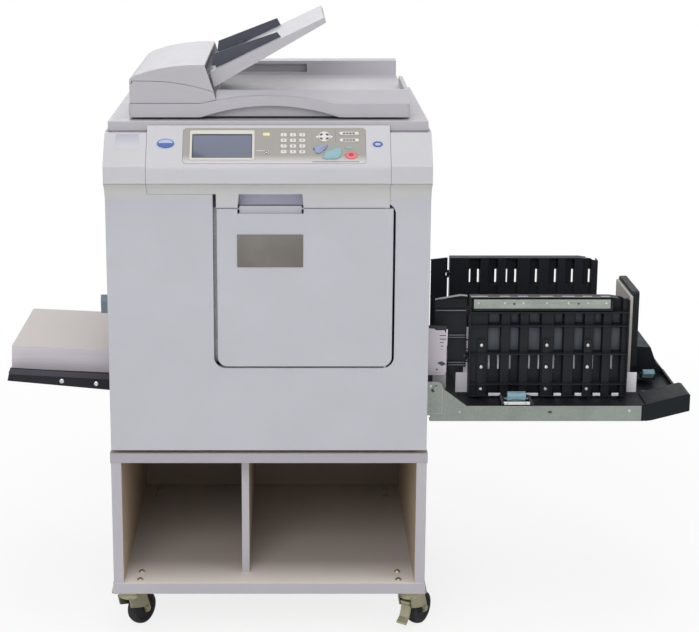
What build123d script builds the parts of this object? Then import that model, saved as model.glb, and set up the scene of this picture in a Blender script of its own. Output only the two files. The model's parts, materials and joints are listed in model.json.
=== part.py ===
from build123d import *
from math import atan2, cos, degrees, radians, sin
import os

# A floor-standing digital duplicator: scanner and document feeder on top, printing drum
# behind the front door, paper feed tray at the left, receiving tray at the right, all on
# an open stand with castors. Lengths are millimetres and angles are degrees.
# Places are written as x from the body's mid-plane, y behind the body's front face and
# z above the floor. The planes below move them to the origin, which is on the floor at
# the middle of the whole machine.

# Whole machine
FEED_END_X = -571
CAP_END_X = 902
CONSOLE_Y = -27
REAR_Y = 613
BODY_X = -(FEED_END_X + CAP_END_X) / 2
FACE_Y = -(CONSOLE_Y + REAR_Y) / 2

# Stand
BOARD = 22
BOARD_EDGE = 338
BOARD_FRONT = 2
BOARD_BACK = 592
BASE_Z = (100, 125)
TOP_Z = (400, 422)
DIVIDER_X = (-60, -44)
DIVIDER_Y = 60
BACK_BOARD = 6

# Castors
WHEEL_RADIUS = 37.5
WHEEL_WIDTH = 25
SWIVEL_X = 307
SWIVEL_Y = 42
REAR_CASTOR_Y = 530
TRAIL = 40
TURN = 35
AXLE_RADIUS = 4
PLATE = 3
BOLT_X = 26
BOLT_Y = 21
LEG_GAP = 14.5
LEG = 3

# Body and its covers
SIDE_X = 335
WALL = 3
MACHINE_Z = 430
TUCK_Z = 972
SEAM_Z = 1010
SEAM_GROOVE = 0.8
BULGE_Z = 1046
CONSOLE_TOP_Z = 1121
CAP_TOP_Z = 1107
CONSOLE_BACK_Y = 38
BODY_TOP_Z = 1109
COVER_Y = 41
REAR_SPLIT_Y = 588
CONSOLE_X = (-248, 250)
APRON_X = -107
APRON_Z = 985
DOOR_GAP = 7

# Front door
DOOR_X = (-106, 258)
DOOR_Z = (616, 955.5)
DOOR_RADIUS = 20
DOOR_LIFT = 2.5
DOOR_BACK = 12
DOOR_PIVOT = (244, 5)
PIN_RADIUS = 3
RECESS_X = (-63, 73)
RECESS_Z = (943.5, 985)
LIP_TOP = 961
LIP_Y = (6, 9)
RECESS_BACK = 30

# Scanner
SCANNER_X = 330
SCANNER_Y = (40, 579)
SCANNER_Z = (1042, 1129)
GLASS_X = (-228, 212)
GLASS_Y = (125, 440)

# Platen cover and document feeder
LID_X = (-288, 293)
LID_Y = (60, 540)
LID_Z = 1134
RIM_Z = 1162
FEEDER_X = -286
FEEDER_Y = (64, 540)
PARTING_Z = 1209

# Document tray
TRAY_Y = (95, 415)
TRAY_PROFILE = ((-113, 1192), (120, 1326), (114, 1335), (-121, 1223))

# Feed side
FEED_TILT = 2.7
FEED_Y = (120, 480)
STACK_Y = (145, 455)
STACK_X = (-565, -145)
STACK_HEIGHT = 51
STACK_Z = 567
FEED_BAY_X = (-335, -140)
FEED_BAY_Y = (95, 505)
FEED_BAY_Z = (446, 650)

# Receiving side
DECK_X = (350, 808)
DECK_Y = (56, 500)
DECK_Z = (504, 512)
RAMP_X = 413
RAIL_Z = (477, 511)
RAIL_FRONT_Y = 52
RAIL_REAR_Y = 502
FENCE_Z = (514.5, 738)
GROOVE_X = (452, 536, 608, 680, 752)
GROOVE = 2.5
FRONT_FENCE_X = (432, 776)
FRONT_FENCE_Y = 123
REAR_FENCE_X = (421, 769)
REAR_FENCE_Y = 455
FRONT_FAR = ((473, 501), (521, 542), (561, 588), (616, 637), (660, 681), (702, 721), (740, 762))
REAR_FAR = ((467, 492), (513, 533), (554, 579), (610, 629), (655, 674), (694, 713), (734, 753))
FRONT_SLOTS = (478, 498, 524, 566, 586, 619, 664, 704, 745)
REAR_SLOTS = (469, 489, 530, 556, 577, 626, 671, 711, 751)
SLOT = 4
RIB = 2.6
REAR_TOP = 743
END_FENCE_X = (806, 822)
END_FENCE_Y = (228, 384)

os.makedirs("parts", exist_ok=True)


def plan(z):
    """The level plane at height z; its sketch x and y are the machine's x and y."""
    return Plane(origin=(BODY_X, FACE_Y, z))


def elevation(y):
    """The upright plane at depth y, seen from the front; its normal points forward."""
    return Plane(origin=(BODY_X, FACE_Y + y, 0), x_dir=(1, 0, 0), z_dir=(0, -1, 0))


def section(x):
    """The upright plane at x, seen from the right; its sketch x is depth."""
    return Plane(origin=(BODY_X + x, FACE_Y, 0), x_dir=(0, 1, 0), z_dir=(1, 0, 0))


def block(x, y, z, mode=Mode.ADD, corner=0):
    """A block between two ends on each axis, with its upright corners rounded."""
    with BuildSketch(plan(z[0])) as outline:
        with Locations(((x[0] + x[1]) / 2, (y[0] + y[1]) / 2)):
            if corner:
                RectangleRounded(x[1] - x[0], y[1] - y[0], corner)
            else:
                Rectangle(x[1] - x[0], y[1] - y[0])
    extrude(outline.sketch, amount=z[1] - z[0], mode=mode)


def prism(plane, points, depth, mode=Mode.ADD, corner=0):
    """A straight-sided outline on a plane, pushed along its normal by depth."""
    with BuildSketch(plane) as outline:
        Polygon(*points, align=None)
        if corner:
            fillet(outline.vertices(), corner)
    extrude(outline.sketch, amount=depth, mode=mode)


def rod(plane, centre, radius, depth, mode=Mode.ADD):
    """A round bar, or a round hole, along a plane's normal."""
    with BuildSketch(plane) as outline:
        with Locations(centre):
            Circle(radius)
    extrude(outline.sketch, amount=depth, mode=mode)


def finish(piece, name):
    """Label a finished piece and write it to its own file."""
    piece.part.label = name
    export_step(piece.part, f"parts/{name}.step")


# Stand boards
with BuildPart() as stand_top_board:
    block((-BOARD_EDGE, BOARD_EDGE), (BOARD_FRONT, BOARD_BACK), TOP_Z)
    fillet(stand_top_board.edges().filter_by(Axis.X), 1.5)
finish(stand_top_board, "stand_top_board")

BOLT_SPOTS = [
    (side * SWIVEL_X + dx * BOLT_X, y + dy * BOLT_Y)
    for side in (-1, 1)
    for y in (SWIVEL_Y, REAR_CASTOR_Y)
    for dx in (-1, 1)
    for dy in (-1, 1)
]
INNER_SPOTS = [spot for spot in BOLT_SPOTS if abs(spot[0]) < SWIVEL_X]

with BuildPart() as stand_base_board:
    block((-BOARD_EDGE, BOARD_EDGE), (BOARD_FRONT, BOARD_BACK), BASE_Z)
    fillet(stand_base_board.edges().filter_by(Axis.X), 1.5)
    with BuildSketch(plan(BASE_Z[0])):
        with Locations(*INNER_SPOTS):
            Circle(3.1)
    extrude(amount=BASE_Z[1] - BASE_Z[0], mode=Mode.SUBTRACT)
finish(stand_base_board, "stand_base_board")

UPRIGHT_Y = (BOARD_FRONT + 1, BOARD_BACK - BACK_BOARD - 1)
SIDE_OUT = BOARD_EDGE - 1.5
SIDE_IN = SIDE_OUT - BOARD
with BuildPart() as stand_uprights:
    block((-SIDE_OUT, -SIDE_IN), UPRIGHT_Y, (BASE_Z[1], TOP_Z[0]))
    block((SIDE_IN, SIDE_OUT), UPRIGHT_Y, (BASE_Z[1], TOP_Z[0]))
    block(DIVIDER_X, (DIVIDER_Y, UPRIGHT_Y[1]), (BASE_Z[1], TOP_Z[0]))
    fillet(stand_uprights.edges().filter_by(Axis.Z).group_by(Axis.Y)[0], 1)
finish(stand_uprights, "stand_uprights")

with BuildPart() as stand_back_board:
    block((-SIDE_OUT, SIDE_OUT), (UPRIGHT_Y[1], BOARD_BACK - 1), (BASE_Z[1], TOP_Z[0]))
finish(stand_back_board, "stand_back_board")


def castor_side(x, y, turn, shift=0):
    """The rolling plane of a castor, seen from its right, shifted along the axle."""
    ahead = (sin(radians(turn)), cos(radians(turn)), 0)
    right = (ahead[1], -ahead[0], 0)
    origin = (BODY_X + x + right[0] * shift, FACE_Y + y + right[1] * shift, 0)
    return Plane(origin=origin, x_dir=ahead, z_dir=right)


WHEELS = {
    "front_left": castor_side(-SWIVEL_X, SWIVEL_Y, TURN),
    "front_right": castor_side(SWIVEL_X, SWIVEL_Y, TURN),
    "rear_left": castor_side(-SWIVEL_X, REAR_CASTOR_Y - TRAIL, 0),
    "rear_right": castor_side(SWIVEL_X, REAR_CASTOR_Y - TRAIL, 0),
}

# Castor wheels, with a crowned tread, a recessed web and a hub round the axle
HALF_TREAD = WHEEL_WIDTH / 2
TREAD_EDGE = (WHEEL_RADIUS - 3, HALF_TREAD - 1)
WEB = HALF_TREAD - 5
for place, side_plane in WHEELS.items():
    hub = side_plane.origin + side_plane.x_dir * TRAIL + Vector(0, 0, WHEEL_RADIUS)
    with BuildPart() as castor_wheel:
        with BuildSketch(Plane(origin=hub, x_dir=(0, 0, 1), z_dir=side_plane.x_dir)):
            with BuildLine():
                upper = Polyline(
                    TREAD_EDGE,
                    (WHEEL_RADIUS - 9, HALF_TREAD - 1),
                    (WHEEL_RADIUS - 12, WEB),
                    (14, WEB),
                    (11, HALF_TREAD),
                    (AXLE_RADIUS + 0.3, HALF_TREAD),
                    (AXLE_RADIUS + 0.3, 0),
                )
                mirror(upper, about=Plane.XZ)
                ThreePointArc(TREAD_EDGE, (WHEEL_RADIUS, 0), (TREAD_EDGE[0], -TREAD_EDGE[1]))
            make_face()
        revolve(axis=Axis(hub, side_plane.z_dir))
    finish(castor_wheel, f"castor_wheel_{place}")


def castor_fork(side_plane, leg, crown_z, axle_x):
    """Two legs that hang from a crown and carry the axle, with its heads outside them."""
    half = LEG_GAP + LEG
    right_face = side_plane.offset(half)
    for offset_from_right in (0, 2 * LEG_GAP + LEG):
        with BuildSketch(right_face.offset(-offset_from_right)) as leg_face:
            Polygon(*leg, align=None)
            fillet(leg_face.vertices().sort_by(Axis.Y)[:2], 4)
        extrude(leg_face.sketch, amount=-LEG)
    ends = [point[0] for point in leg if point[1] > crown_z]
    with BuildSketch(side_plane.offset(half)) as crown:
        with Locations(((min(ends) + max(ends)) / 2, crown_z + LEG / 2)):
            Rectangle(max(ends) - min(ends), LEG)
    extrude(crown.sketch, amount=-2 * half)
    rod(side_plane.offset(half + 2.5), (axle_x, WHEEL_RADIUS), AXLE_RADIUS, -2 * half - 5)
    for head in (half, -half - 3):
        rod(side_plane.offset(head), (axle_x, WHEEL_RADIUS), 7, 3)


# Front forks: each turns under its plate on a kingpin and carries its wheel behind it
BRAKE_PIVOT = (-12, 66)
BRAKE_PIN = 2.5
FRONT_LEG = ((-20, 82), (34, 82), (TRAIL + 9, 40), (TRAIL + 5, 29), (TRAIL - 6, 29), (TRAIL - 10, 44),
             (-14, 58))
for place in ("left", "right"):
    side_plane = WHEELS[f"front_{place}"]
    with BuildPart() as front_fork:
        castor_fork(side_plane, FRONT_LEG, 79, TRAIL)
        centre = (side_plane.origin.X, side_plane.origin.Y)
        with BuildSketch(Plane.XY.offset(79)):
            with Locations(centre):
                Circle(24)
        extrude(amount=8, taper=12)
        with BuildSketch(Plane.XY.offset(86)):
            with Locations(centre):
                Circle(5)
        extrude(amount=12)
        if place == "right":
            rod(side_plane.offset(LEG_GAP + LEG), BRAKE_PIVOT, BRAKE_PIN, -2 * (LEG_GAP + LEG))
    finish(front_fork, f"castor_fork_{place}")

# Rear castors: rigid forks with their own top plates
REAR_LEG = ((TRAIL - 26, 99), (TRAIL + 26, 99), (TRAIL + 9, 40), (TRAIL + 5, 29), (TRAIL - 5, 29),
            (TRAIL - 9, 40))
with BuildPart() as rear_castor_forks:
    for place in ("left", "right"):
        side_plane = WHEELS[f"rear_{place}"]
        castor_fork(side_plane, REAR_LEG, 96, TRAIL)
        hub_x = side_plane.origin.X - BODY_X
        block((hub_x - 36, hub_x + 36), (REAR_CASTOR_Y - 31, REAR_CASTOR_Y + 31), (97, 100), corner=5)
    with BuildSketch(plan(97)):
        with Locations(*[spot for spot in BOLT_SPOTS if spot[1] > REAR_CASTOR_Y / 2]):
            Circle(3.1)
    extrude(amount=3, mode=Mode.SUBTRACT)
finish(rear_castor_forks, "rear_castor_forks")

# Front plates with their raceways, and the pan-head bolts of all four castors
with BuildPart() as castor_mounts:
    for side in (-1, 1):
        centre_x = side * SWIVEL_X
        block((centre_x - 36, centre_x + 36), (SWIVEL_Y - 31, SWIVEL_Y + 31), (97, 100), corner=5)
        rod(plan(87.6), (centre_x, SWIVEL_Y), 23, 9.4)
        rod(plan(87.6), (centre_x, SWIVEL_Y), 5.5, 12.4, mode=Mode.SUBTRACT)
    with BuildSketch(plan(97)):
        with Locations(*[spot for spot in BOLT_SPOTS if spot[1] < REAR_CASTOR_Y / 2]):
            Circle(3.1)
    extrude(amount=3, mode=Mode.SUBTRACT)
    for spot in BOLT_SPOTS:
        through = abs(spot[0]) < SWIVEL_X
        rod(plan(93.5), spot, 5.5, 3.5)
        rod(plan(97), spot, 3, (BASE_Z[1] if through else 99.9) - 97)
        if through:
            with BuildSketch(plan(BASE_Z[1])) as dome:
                with Locations(spot):
                    Circle(7)
            extrude(dome.sketch, amount=3.5, taper=35)
finish(castor_mounts, "castor_mounts")

# Brake pedal of the right front castor, hinged between the fork's legs
side_plane = WHEELS["front_right"]
with BuildPart() as castor_brake:
    rod(side_plane.offset(11), BRAKE_PIVOT, 6, -22)
    prism(
        side_plane.offset(11),
        ((-15, 62), (-9, 62), (-12, 46), (-17, 34), (-30, 22), (-36, 25), (-34, 28), (-23, 37), (-18, 48)),
        -22,
    )
    rod(side_plane.offset(12), BRAKE_PIVOT, BRAKE_PIN + 0.3, -24, mode=Mode.SUBTRACT)
finish(castor_brake, "castor_brake")

# Base pan: a shallow tray on four feet
PAN_X = 326
PAN_Y = (6, 584)
PAN_Z = (433.4, 441)
with BuildPart() as base_pan:
    block((-PAN_X, PAN_X), PAN_Y, PAN_Z)
    block(
        (-PAN_X + WALL, PAN_X - WALL), (PAN_Y[0] + WALL, PAN_Y[1] - WALL),
        (PAN_Z[0] + WALL, PAN_Z[1]), mode=Mode.SUBTRACT,
    )
    for foot_x in (-290, 290):
        for foot_y in (62, 540):
            rod(plan(TOP_Z[1]), (foot_x, foot_y), 16, PAN_Z[0] + 1 - TOP_Z[1])
finish(base_pan, "base_pan")

# Main frame: corner posts between the base pan and the scanner, tied by rails
POST_X = SIDE_X - 12
POST_Y = (46, 560)
with BuildPart() as main_frame:
    for side in (-1, 1):
        for y in POST_Y:
            x = sorted((side * POST_X, side * (POST_X - 18)))
            block(x, (y, y + 18), (PAN_Z[0] + WALL, SCANNER_Z[0]))
        x = sorted((side * POST_X, side * (POST_X - 18)))
        block(x, (POST_Y[0], POST_Y[1] + 18), (SCANNER_Z[0] - 20, SCANNER_Z[0]))
    for y in POST_Y:
        for z in (SCANNER_Z[0] - 20, 574):
            if z > 600 or y > 300:
                block((-POST_X, POST_X), (y, y + 18), (z, z + 20))
    block((-130, -112), (POST_Y[0], POST_Y[1] + 18), (PAN_Z[0] + WALL, SCANNER_Z[0]))
    block((-128, -114), (POST_Y[0] + 18, POST_Y[1]), (456, 1016), mode=Mode.SUBTRACT)
    block((-131, -111), (POST_Y[0] + 18, POST_Y[1]), (456, 1016), mode=Mode.SUBTRACT)
finish(main_frame, "main_frame")


def tuck_profile(inset):
    """The curve by which the front swells forward under the console, as one arc."""
    return ThreePointArc(
        (inset, TUCK_Z), (-8 + inset, TUCK_Z + 20), (CONSOLE_Y + inset, SEAM_Z)
    )


# Front cover: flat lower front round the door, swelling forward under the console's caps
with BuildPart() as front_cover:
    block((-SIDE_X, SIDE_X), (0, COVER_Y - 1), (MACHINE_Z, TUCK_Z))
    fillet(front_cover.edges().filter_by(Axis.Z).group_by(Axis.Y)[0], 2)
    with BuildSketch(section(-SIDE_X)):
        with BuildLine():
            Line((COVER_Y - 1, TUCK_Z), (0, TUCK_Z))
            tuck_profile(0)
            Line((CONSOLE_Y, SEAM_Z), (COVER_Y - 1, SEAM_Z))
            Line((COVER_Y - 1, SEAM_Z), (COVER_Y - 1, TUCK_Z))
        make_face()
    extrude(amount=2 * SIDE_X)
    block((-SIDE_X + WALL, SIDE_X - WALL), (WALL, COVER_Y), (MACHINE_Z + WALL, TUCK_Z), mode=Mode.SUBTRACT)
    with BuildSketch(section(-SIDE_X + WALL)):
        with BuildLine():
            Line((COVER_Y, TUCK_Z), (WALL, TUCK_Z))
            tuck_profile(WALL)
            Line((CONSOLE_Y + WALL, SEAM_Z), (COVER_Y, SEAM_Z))
            Line((COVER_Y, SEAM_Z), (COVER_Y, TUCK_Z))
        make_face()
    extrude(amount=2 * (SIDE_X - WALL), mode=Mode.SUBTRACT)
    block((CONSOLE_X[0] - 0.5, APRON_X), (-40, COVER_Y), (APRON_Z - 0.5, SEAM_Z), mode=Mode.SUBTRACT)
    block((APRON_X - DOOR_GAP, CONSOLE_X[1] + 0.5), (-40, COVER_Y), (DOOR_Z[1] - 0.5, SEAM_Z),
          mode=Mode.SUBTRACT)
    block((APRON_X - DOOR_GAP, DOOR_X[0]), (-1, WALL + 1), (DOOR_Z[1] - 30, DOOR_Z[1]), mode=Mode.SUBTRACT)
    with BuildSketch(elevation(-1)) as doorway:
        with Locations(((DOOR_X[0] - 8 + DOOR_X[1] + 5) / 2, (DOOR_Z[0] - 4 + DOOR_Z[1] + 10) / 2)):
            RectangleRounded(DOOR_X[1] - DOOR_X[0] + 13, DOOR_Z[1] - DOOR_Z[0] + 14, DOOR_RADIUS + 4)
    extrude(amount=-WALL - 1, mode=Mode.SUBTRACT)
    with BuildSketch(elevation(WALL)) as collar:
        with Locations(((DOOR_X[0] - 8 + DOOR_X[1] + 5) / 2, (DOOR_Z[0] - 4 + DOOR_Z[1] - 1) / 2)):
            RectangleRounded(DOOR_X[1] - DOOR_X[0] + 19, DOOR_Z[1] - DOOR_Z[0] + 9, 8)
            Rectangle(DOOR_X[1] - DOOR_X[0] + 13, DOOR_Z[1] - DOOR_Z[0] + 3, mode=Mode.SUBTRACT)
            with Locations((0, 180)):
                Rectangle(400, 40, mode=Mode.SUBTRACT)
    extrude(amount=-18)
    rod(plan(DOOR_Z[0] - 8), DOOR_PIVOT, PIN_RADIUS + 0.35, 5, mode=Mode.SUBTRACT)
finish(front_cover, "front_cover")

# Side covers: flat shells with louvres low at the back, open where the paper passes
COVER_X = SIDE_X - WALL
COVER_Z = (MACHINE_Z, BODY_TOP_Z)
LOUVRE_Y = 500
LOUVRE_Z = [700 + 16 * step for step in range(9)]


def side_cover(side):
    """One side cover with its front, back, top and bottom returns."""
    outer = sorted((side * SIDE_X, side * (SIDE_X - 8)))
    inner = sorted((side * COVER_X, side * (SIDE_X - 9)))
    block(outer, (COVER_Y, REAR_SPLIT_Y - 1), COVER_Z)
    block(inner, (COVER_Y + WALL, REAR_SPLIT_Y - 1 - WALL), (COVER_Z[0] + WALL, COVER_Z[1] + 1),
          mode=Mode.SUBTRACT)
    with BuildSketch(section(side * (SIDE_X + 1))) as louvres:
        for z in LOUVRE_Z:
            with Locations((LOUVRE_Y, z)):
                SlotOverall(110, 5)
    extrude(louvres.sketch, amount=-side * 6, mode=Mode.SUBTRACT)


with BuildPart() as left_side_cover:
    side_cover(-1)
    block((-SIDE_X - 1, -SIDE_X + 9), FEED_BAY_Y, FEED_BAY_Z, mode=Mode.SUBTRACT)
    rod(section(-SIDE_X - 1), (112, 722), 9.3, 10, mode=Mode.SUBTRACT)
finish(left_side_cover, "left_side_cover")

HOLDER_X = 381
HOLDER_Y = (78.6, 99.4)
HOLDER_Z = (572, 668)
HOLDER_SLOTS = [652 - 7 * step for step in range(5)]
HOLDER_HOLES = ((371, 594, 4), (359, 582, 2))
EXIT_Y = (112, 468)
EXIT_Z = (640, 706)
with BuildPart() as right_side_cover:
    side_cover(1)
    block((SIDE_X - 60, SIDE_X - 1), (EXIT_Y[0] - 3, EXIT_Y[1] + 3), (EXIT_Z[0] - 3, EXIT_Z[1] + 3))
    block((SIDE_X - 57, SIDE_X + 1), EXIT_Y, EXIT_Z, mode=Mode.SUBTRACT)
    prism(
        elevation(HOLDER_Y[0]),
        ((SIDE_X - 1, HOLDER_Z[0]), (HOLDER_X - 3, HOLDER_Z[0]), (HOLDER_X, HOLDER_Z[0] + 8),
         (HOLDER_X, HOLDER_Z[1] - 14), (HOLDER_X - 5, HOLDER_Z[1] - 3), (SIDE_X + 8, HOLDER_Z[1]),
         (SIDE_X - 1, HOLDER_Z[1])),
        HOLDER_Y[0] - HOLDER_Y[1],
    )
    with BuildSketch(elevation(HOLDER_Y[0] - 1)) as holder_slots:
        for z in HOLDER_SLOTS:
            with Locations((HOLDER_X - 9, z)):
                SlotOverall(13, 2.6)
        for x, z, radius in HOLDER_HOLES:
            with Locations((x, z)):
                Circle(radius)
    extrude(holder_slots.sketch, amount=-6, mode=Mode.SUBTRACT)
finish(right_side_cover, "right_side_cover")

# Rear cover: a wrapped panel with louvres and a bare inlet recess
with BuildPart() as rear_cover:
    block((-SIDE_X, SIDE_X), (REAR_SPLIT_Y, REAR_Y), COVER_Z)
    fillet(rear_cover.edges().filter_by(Axis.Z).group_by(Axis.Y)[-1], 8)
    block(
        (-SIDE_X + WALL, SIDE_X - WALL), (REAR_SPLIT_Y - 1, REAR_Y - WALL),
        (COVER_Z[0] + WALL, COVER_Z[1] - WALL), mode=Mode.SUBTRACT,
    )
    with BuildSketch(elevation(REAR_Y + 1)) as vents:
        with GridLocations(0, 16, 1, 12):
            with Locations((170, 860), (-170, 860)):
                SlotOverall(150, 6)
    extrude(vents.sketch, amount=6, mode=Mode.SUBTRACT)
    block((196, 274), (REAR_Y - 24, REAR_Y - 1), (476, 544))
    block((200, 270), (REAR_Y - 20, REAR_Y + 1), (480, 540), mode=Mode.SUBTRACT)
    block((221, 249), (REAR_Y - 21, REAR_Y - 12), (498, 520), corner=3)
finish(rear_cover, "rear_cover")

# Drum bay: an open-fronted box behind the door
BAY_X = (DOOR_X[0] + 5, DOOR_X[1] - 4)
BAY_Y = (22, 470)
BAY_Z = (DOOR_Z[0] + 4, DOOR_Z[1] - 4)
FLANGE = 18
with BuildPart() as drum_bay_liner:
    block(BAY_X, BAY_Y, BAY_Z)
    block((BAY_X[0] + 3, BAY_X[1] - 3), (0, BAY_Y[1] - 3), (BAY_Z[0] + 3, BAY_Z[1] - 3), mode=Mode.SUBTRACT)
    for rail_x in (BAY_X[0] + 60, BAY_X[1] - 60):
        block((rail_x - 9, rail_x + 9), (20, BAY_Y[1] - 3), (BAY_Z[0] + 3, BAY_Z[0] + 15))
    block((BAY_X[0] - FLANGE, BAY_X[0] + 1), (BAY_Y[0] + 2, BAY_Y[0] + 4), BAY_Z)
finish(drum_bay_liner, "drum_bay_liner")

# Feed bay: a box open at the left, with a slot where sheets enter the machine
with BuildPart() as feed_bay_liner:
    outer_y = (FEED_BAY_Y[0] - 3, FEED_BAY_Y[1] + 3)
    outer_z = (FEED_BAY_Z[0] - 3, FEED_BAY_Z[1] + 3)
    block((-COVER_X + 0.5, FEED_BAY_X[1] + 3), outer_y, outer_z)
    block((-COVER_X, FEED_BAY_X[1]), FEED_BAY_Y, FEED_BAY_Z, mode=Mode.SUBTRACT)
    block((FEED_BAY_X[1] - 1, FEED_BAY_X[1] + 4), STACK_Y, (606, 624), mode=Mode.SUBTRACT)
finish(feed_bay_liner, "feed_bay_liner")

# Print drum: a screen cylinder between two end flanges, on a hollow shaft
DRUM_X = 76
DRUM_Z = 788
DRUM_RADIUS = 92
DRUM_Y = (78, 410)
with BuildPart() as print_drum:
    rod(elevation(DRUM_Y[0]), (DRUM_X, DRUM_Z), DRUM_RADIUS + 5, -8)
    rod(elevation(DRUM_Y[0] + 8), (DRUM_X, DRUM_Z), DRUM_RADIUS, DRUM_Y[0] + 16 - DRUM_Y[1])
    rod(elevation(DRUM_Y[1] - 8), (DRUM_X, DRUM_Z), DRUM_RADIUS + 5, -8)
    rod(
        elevation(DRUM_Y[0] + 8), (DRUM_X, DRUM_Z), DRUM_RADIUS - WALL, DRUM_Y[0] + 16 - DRUM_Y[1],
        mode=Mode.SUBTRACT,
    )
    rod(elevation(DRUM_Y[0] - 1), (DRUM_X, DRUM_Z), 16.3, DRUM_Y[0] - 2 - DRUM_Y[1], mode=Mode.SUBTRACT)
    with BuildSketch(elevation(DRUM_Y[0])) as windows:
        with Locations((DRUM_X, DRUM_Z)):
            with PolarLocations(56, 6):
                Circle(17)
    extrude(windows.sketch, amount=-12, mode=Mode.SUBTRACT)
finish(print_drum, "print_drum")

# Drum frame: front plate with a pull handle, hollow shaft and rear plate on the bay's rails
FRAME_Z = BAY_Z[0] + 15.3
with BuildPart() as drum_frame:
    prism(
        elevation(66),
        ((DRUM_X - 128, FRAME_Z), (DRUM_X + 128, FRAME_Z), (DRUM_X + 128, 700), (DRUM_X + 104, 880),
         (DRUM_X - 104, 880), (DRUM_X - 128, 700)),
        4, corner=12,
    )
    rod(elevation(66), (DRUM_X, DRUM_Z), 16, -358)
    with BuildSketch(elevation(424)):
        with Locations((DRUM_X, DRUM_Z)):
            Circle(60)
        with Locations((DRUM_X, (FRAME_Z + DRUM_Z) / 2)):
            Rectangle(90, DRUM_Z - FRAME_Z)
    extrude(amount=-5)
    for arm_x in (DRUM_X - 60, DRUM_X + 44):
        block((arm_x, arm_x + 16), (40, 62), (812, 830))
    block((DRUM_X - 60, DRUM_X + 60), (36, 48), (810, 832), corner=4)
    block((DRUM_X - 120, DRUM_X - 96), (66, 429), (FRAME_Z, FRAME_Z + 6))
    block((DRUM_X + 96, DRUM_X + 120), (66, 429), (FRAME_Z, FRAME_Z + 6))
finish(drum_frame, "drum_frame")

# Ink bottle: a capped cylinder that plugs into the frame's front plate
with BuildPart() as ink_bottle:
    with BuildSketch(elevation(22)):
        with Locations((DRUM_X, 752)):
            Circle(30)
    extrude(amount=-40)
    fillet(ink_bottle.edges(), 4)
finish(ink_bottle, "ink_bottle")

# Scanner housing: a tub with a wider top rim, a ledge for the glass and two lid hinge posts
HINGE_X = (-215, 215)
HINGE_Y = 552
HINGE_Z = 1146
with BuildPart() as scanner_housing:
    block((-SIDE_X + 9, SIDE_X - 9), (SCANNER_Y[0] + 2, SCANNER_Y[1]), (SCANNER_Z[0], BODY_TOP_Z + 1))
    block((-SCANNER_X, SCANNER_X), SCANNER_Y, (BODY_TOP_Z + 0.5, SCANNER_Z[1]), corner=3)
    fillet(scanner_housing.faces().sort_by(Axis.Z)[-1].edges(), 2)
    block(
        (-SIDE_X + 13, SIDE_X - 13), (SCANNER_Y[0] + 6, SCANNER_Y[1] - 4),
        (SCANNER_Z[0] + 3, SCANNER_Z[1] - 5), mode=Mode.SUBTRACT,
    )
    block(GLASS_X, GLASS_Y, (SCANNER_Z[1] - 6, SCANNER_Z[1] + 1), mode=Mode.SUBTRACT)
    ledge_x = (GLASS_X[0] - 5, GLASS_X[1] + 5)
    ledge_y = (GLASS_Y[0] - 5, GLASS_Y[1] + 5)
    block(ledge_x, ledge_y, (SCANNER_Z[1] - 3, SCANNER_Z[1] + 1), mode=Mode.SUBTRACT)
    for y in (GLASS_Y[0] + 8, GLASS_Y[1] - 18):
        block((-SIDE_X + 13, SIDE_X - 13), (y, y + 10), (SCANNER_Z[0] + 3, 1084))
    for x in HINGE_X:
        for post_x in (x - 24, x + 14):
            prism(
                section(post_x),
                ((LID_Y[1] + 3, SCANNER_Z[1] - 2), (565, SCANNER_Z[1] - 2), (560, HINGE_Z + 6),
                 (LID_Y[1] + 3, HINGE_Z + 6)),
                10,
            )
        rod(section(x - 16), (HINGE_Y, HINGE_Z), 4, 32)
finish(scanner_housing, "scanner_housing")

with BuildPart() as platen_glass:
    block(
        (ledge_x[0] + 0.3, ledge_x[1] - 0.3), (ledge_y[0] + 0.3, ledge_y[1] - 0.3),
        (SCANNER_Z[1] - 3, SCANNER_Z[1] - 0.2),
    )
finish(platen_glass, "platen_glass")

# Scan carriage: a lamp and mirror bar that runs under the glass on two rails
CARRIAGE_X = (-262, -226)
with BuildPart() as scan_carriage:
    block(CARRIAGE_X, (GLASS_Y[0] - 6, GLASS_Y[1] + 6), (1084.5, 1116))
    block((CARRIAGE_X[0] + 12, CARRIAGE_X[1] - 12), (GLASS_Y[0] + 4, GLASS_Y[1] - 4), (1104, 1117),
          mode=Mode.SUBTRACT)
    for y in (GLASS_Y[0] + 7.5, GLASS_Y[1] - 18.5):
        block((CARRIAGE_X[0] - 1, CARRIAGE_X[1] + 1), (y, y + 11), (1084, 1084.9), mode=Mode.SUBTRACT)
finish(scan_carriage, "scan_carriage")

# Console: a shell with an upright bulge, a sloping key deck and a flat back
SLOPE_RISE = (CONSOLE_TOP_Z - BULGE_Z) / (CONSOLE_BACK_Y - CONSOLE_Y)
SLOPE_ANGLE = degrees(atan2(SLOPE_RISE, 1))
SLOPE_MID = ((CONSOLE_Y + CONSOLE_BACK_Y) / 2, (BULGE_Z + CONSOLE_TOP_Z) / 2)


def slope(height=0):
    """The plane of the key deck, raised by height; its sketch y runs up the slope."""
    tilt = radians(SLOPE_ANGLE)
    normal = (0, -sin(tilt), cos(tilt))
    origin = (BODY_X, FACE_Y + SLOPE_MID[0] + normal[1] * height, SLOPE_MID[1] + normal[2] * height)
    return Plane(origin=origin, x_dir=(1, 0, 0), z_dir=normal)


def deck_block(x, t, height, mode=Mode.ADD, corner=0):
    """A block on the key deck: x across, t up the slope, height above the deck."""
    with BuildSketch(slope(height[0])) as outline:
        with Locations(((x[0] + x[1]) / 2, (t[0] + t[1]) / 2)):
            if corner:
                RectangleRounded(x[1] - x[0], t[1] - t[0], corner)
            else:
                Rectangle(x[1] - x[0], t[1] - t[0])
    extrude(outline.sketch, amount=height[1] - height[0], mode=mode)


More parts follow.
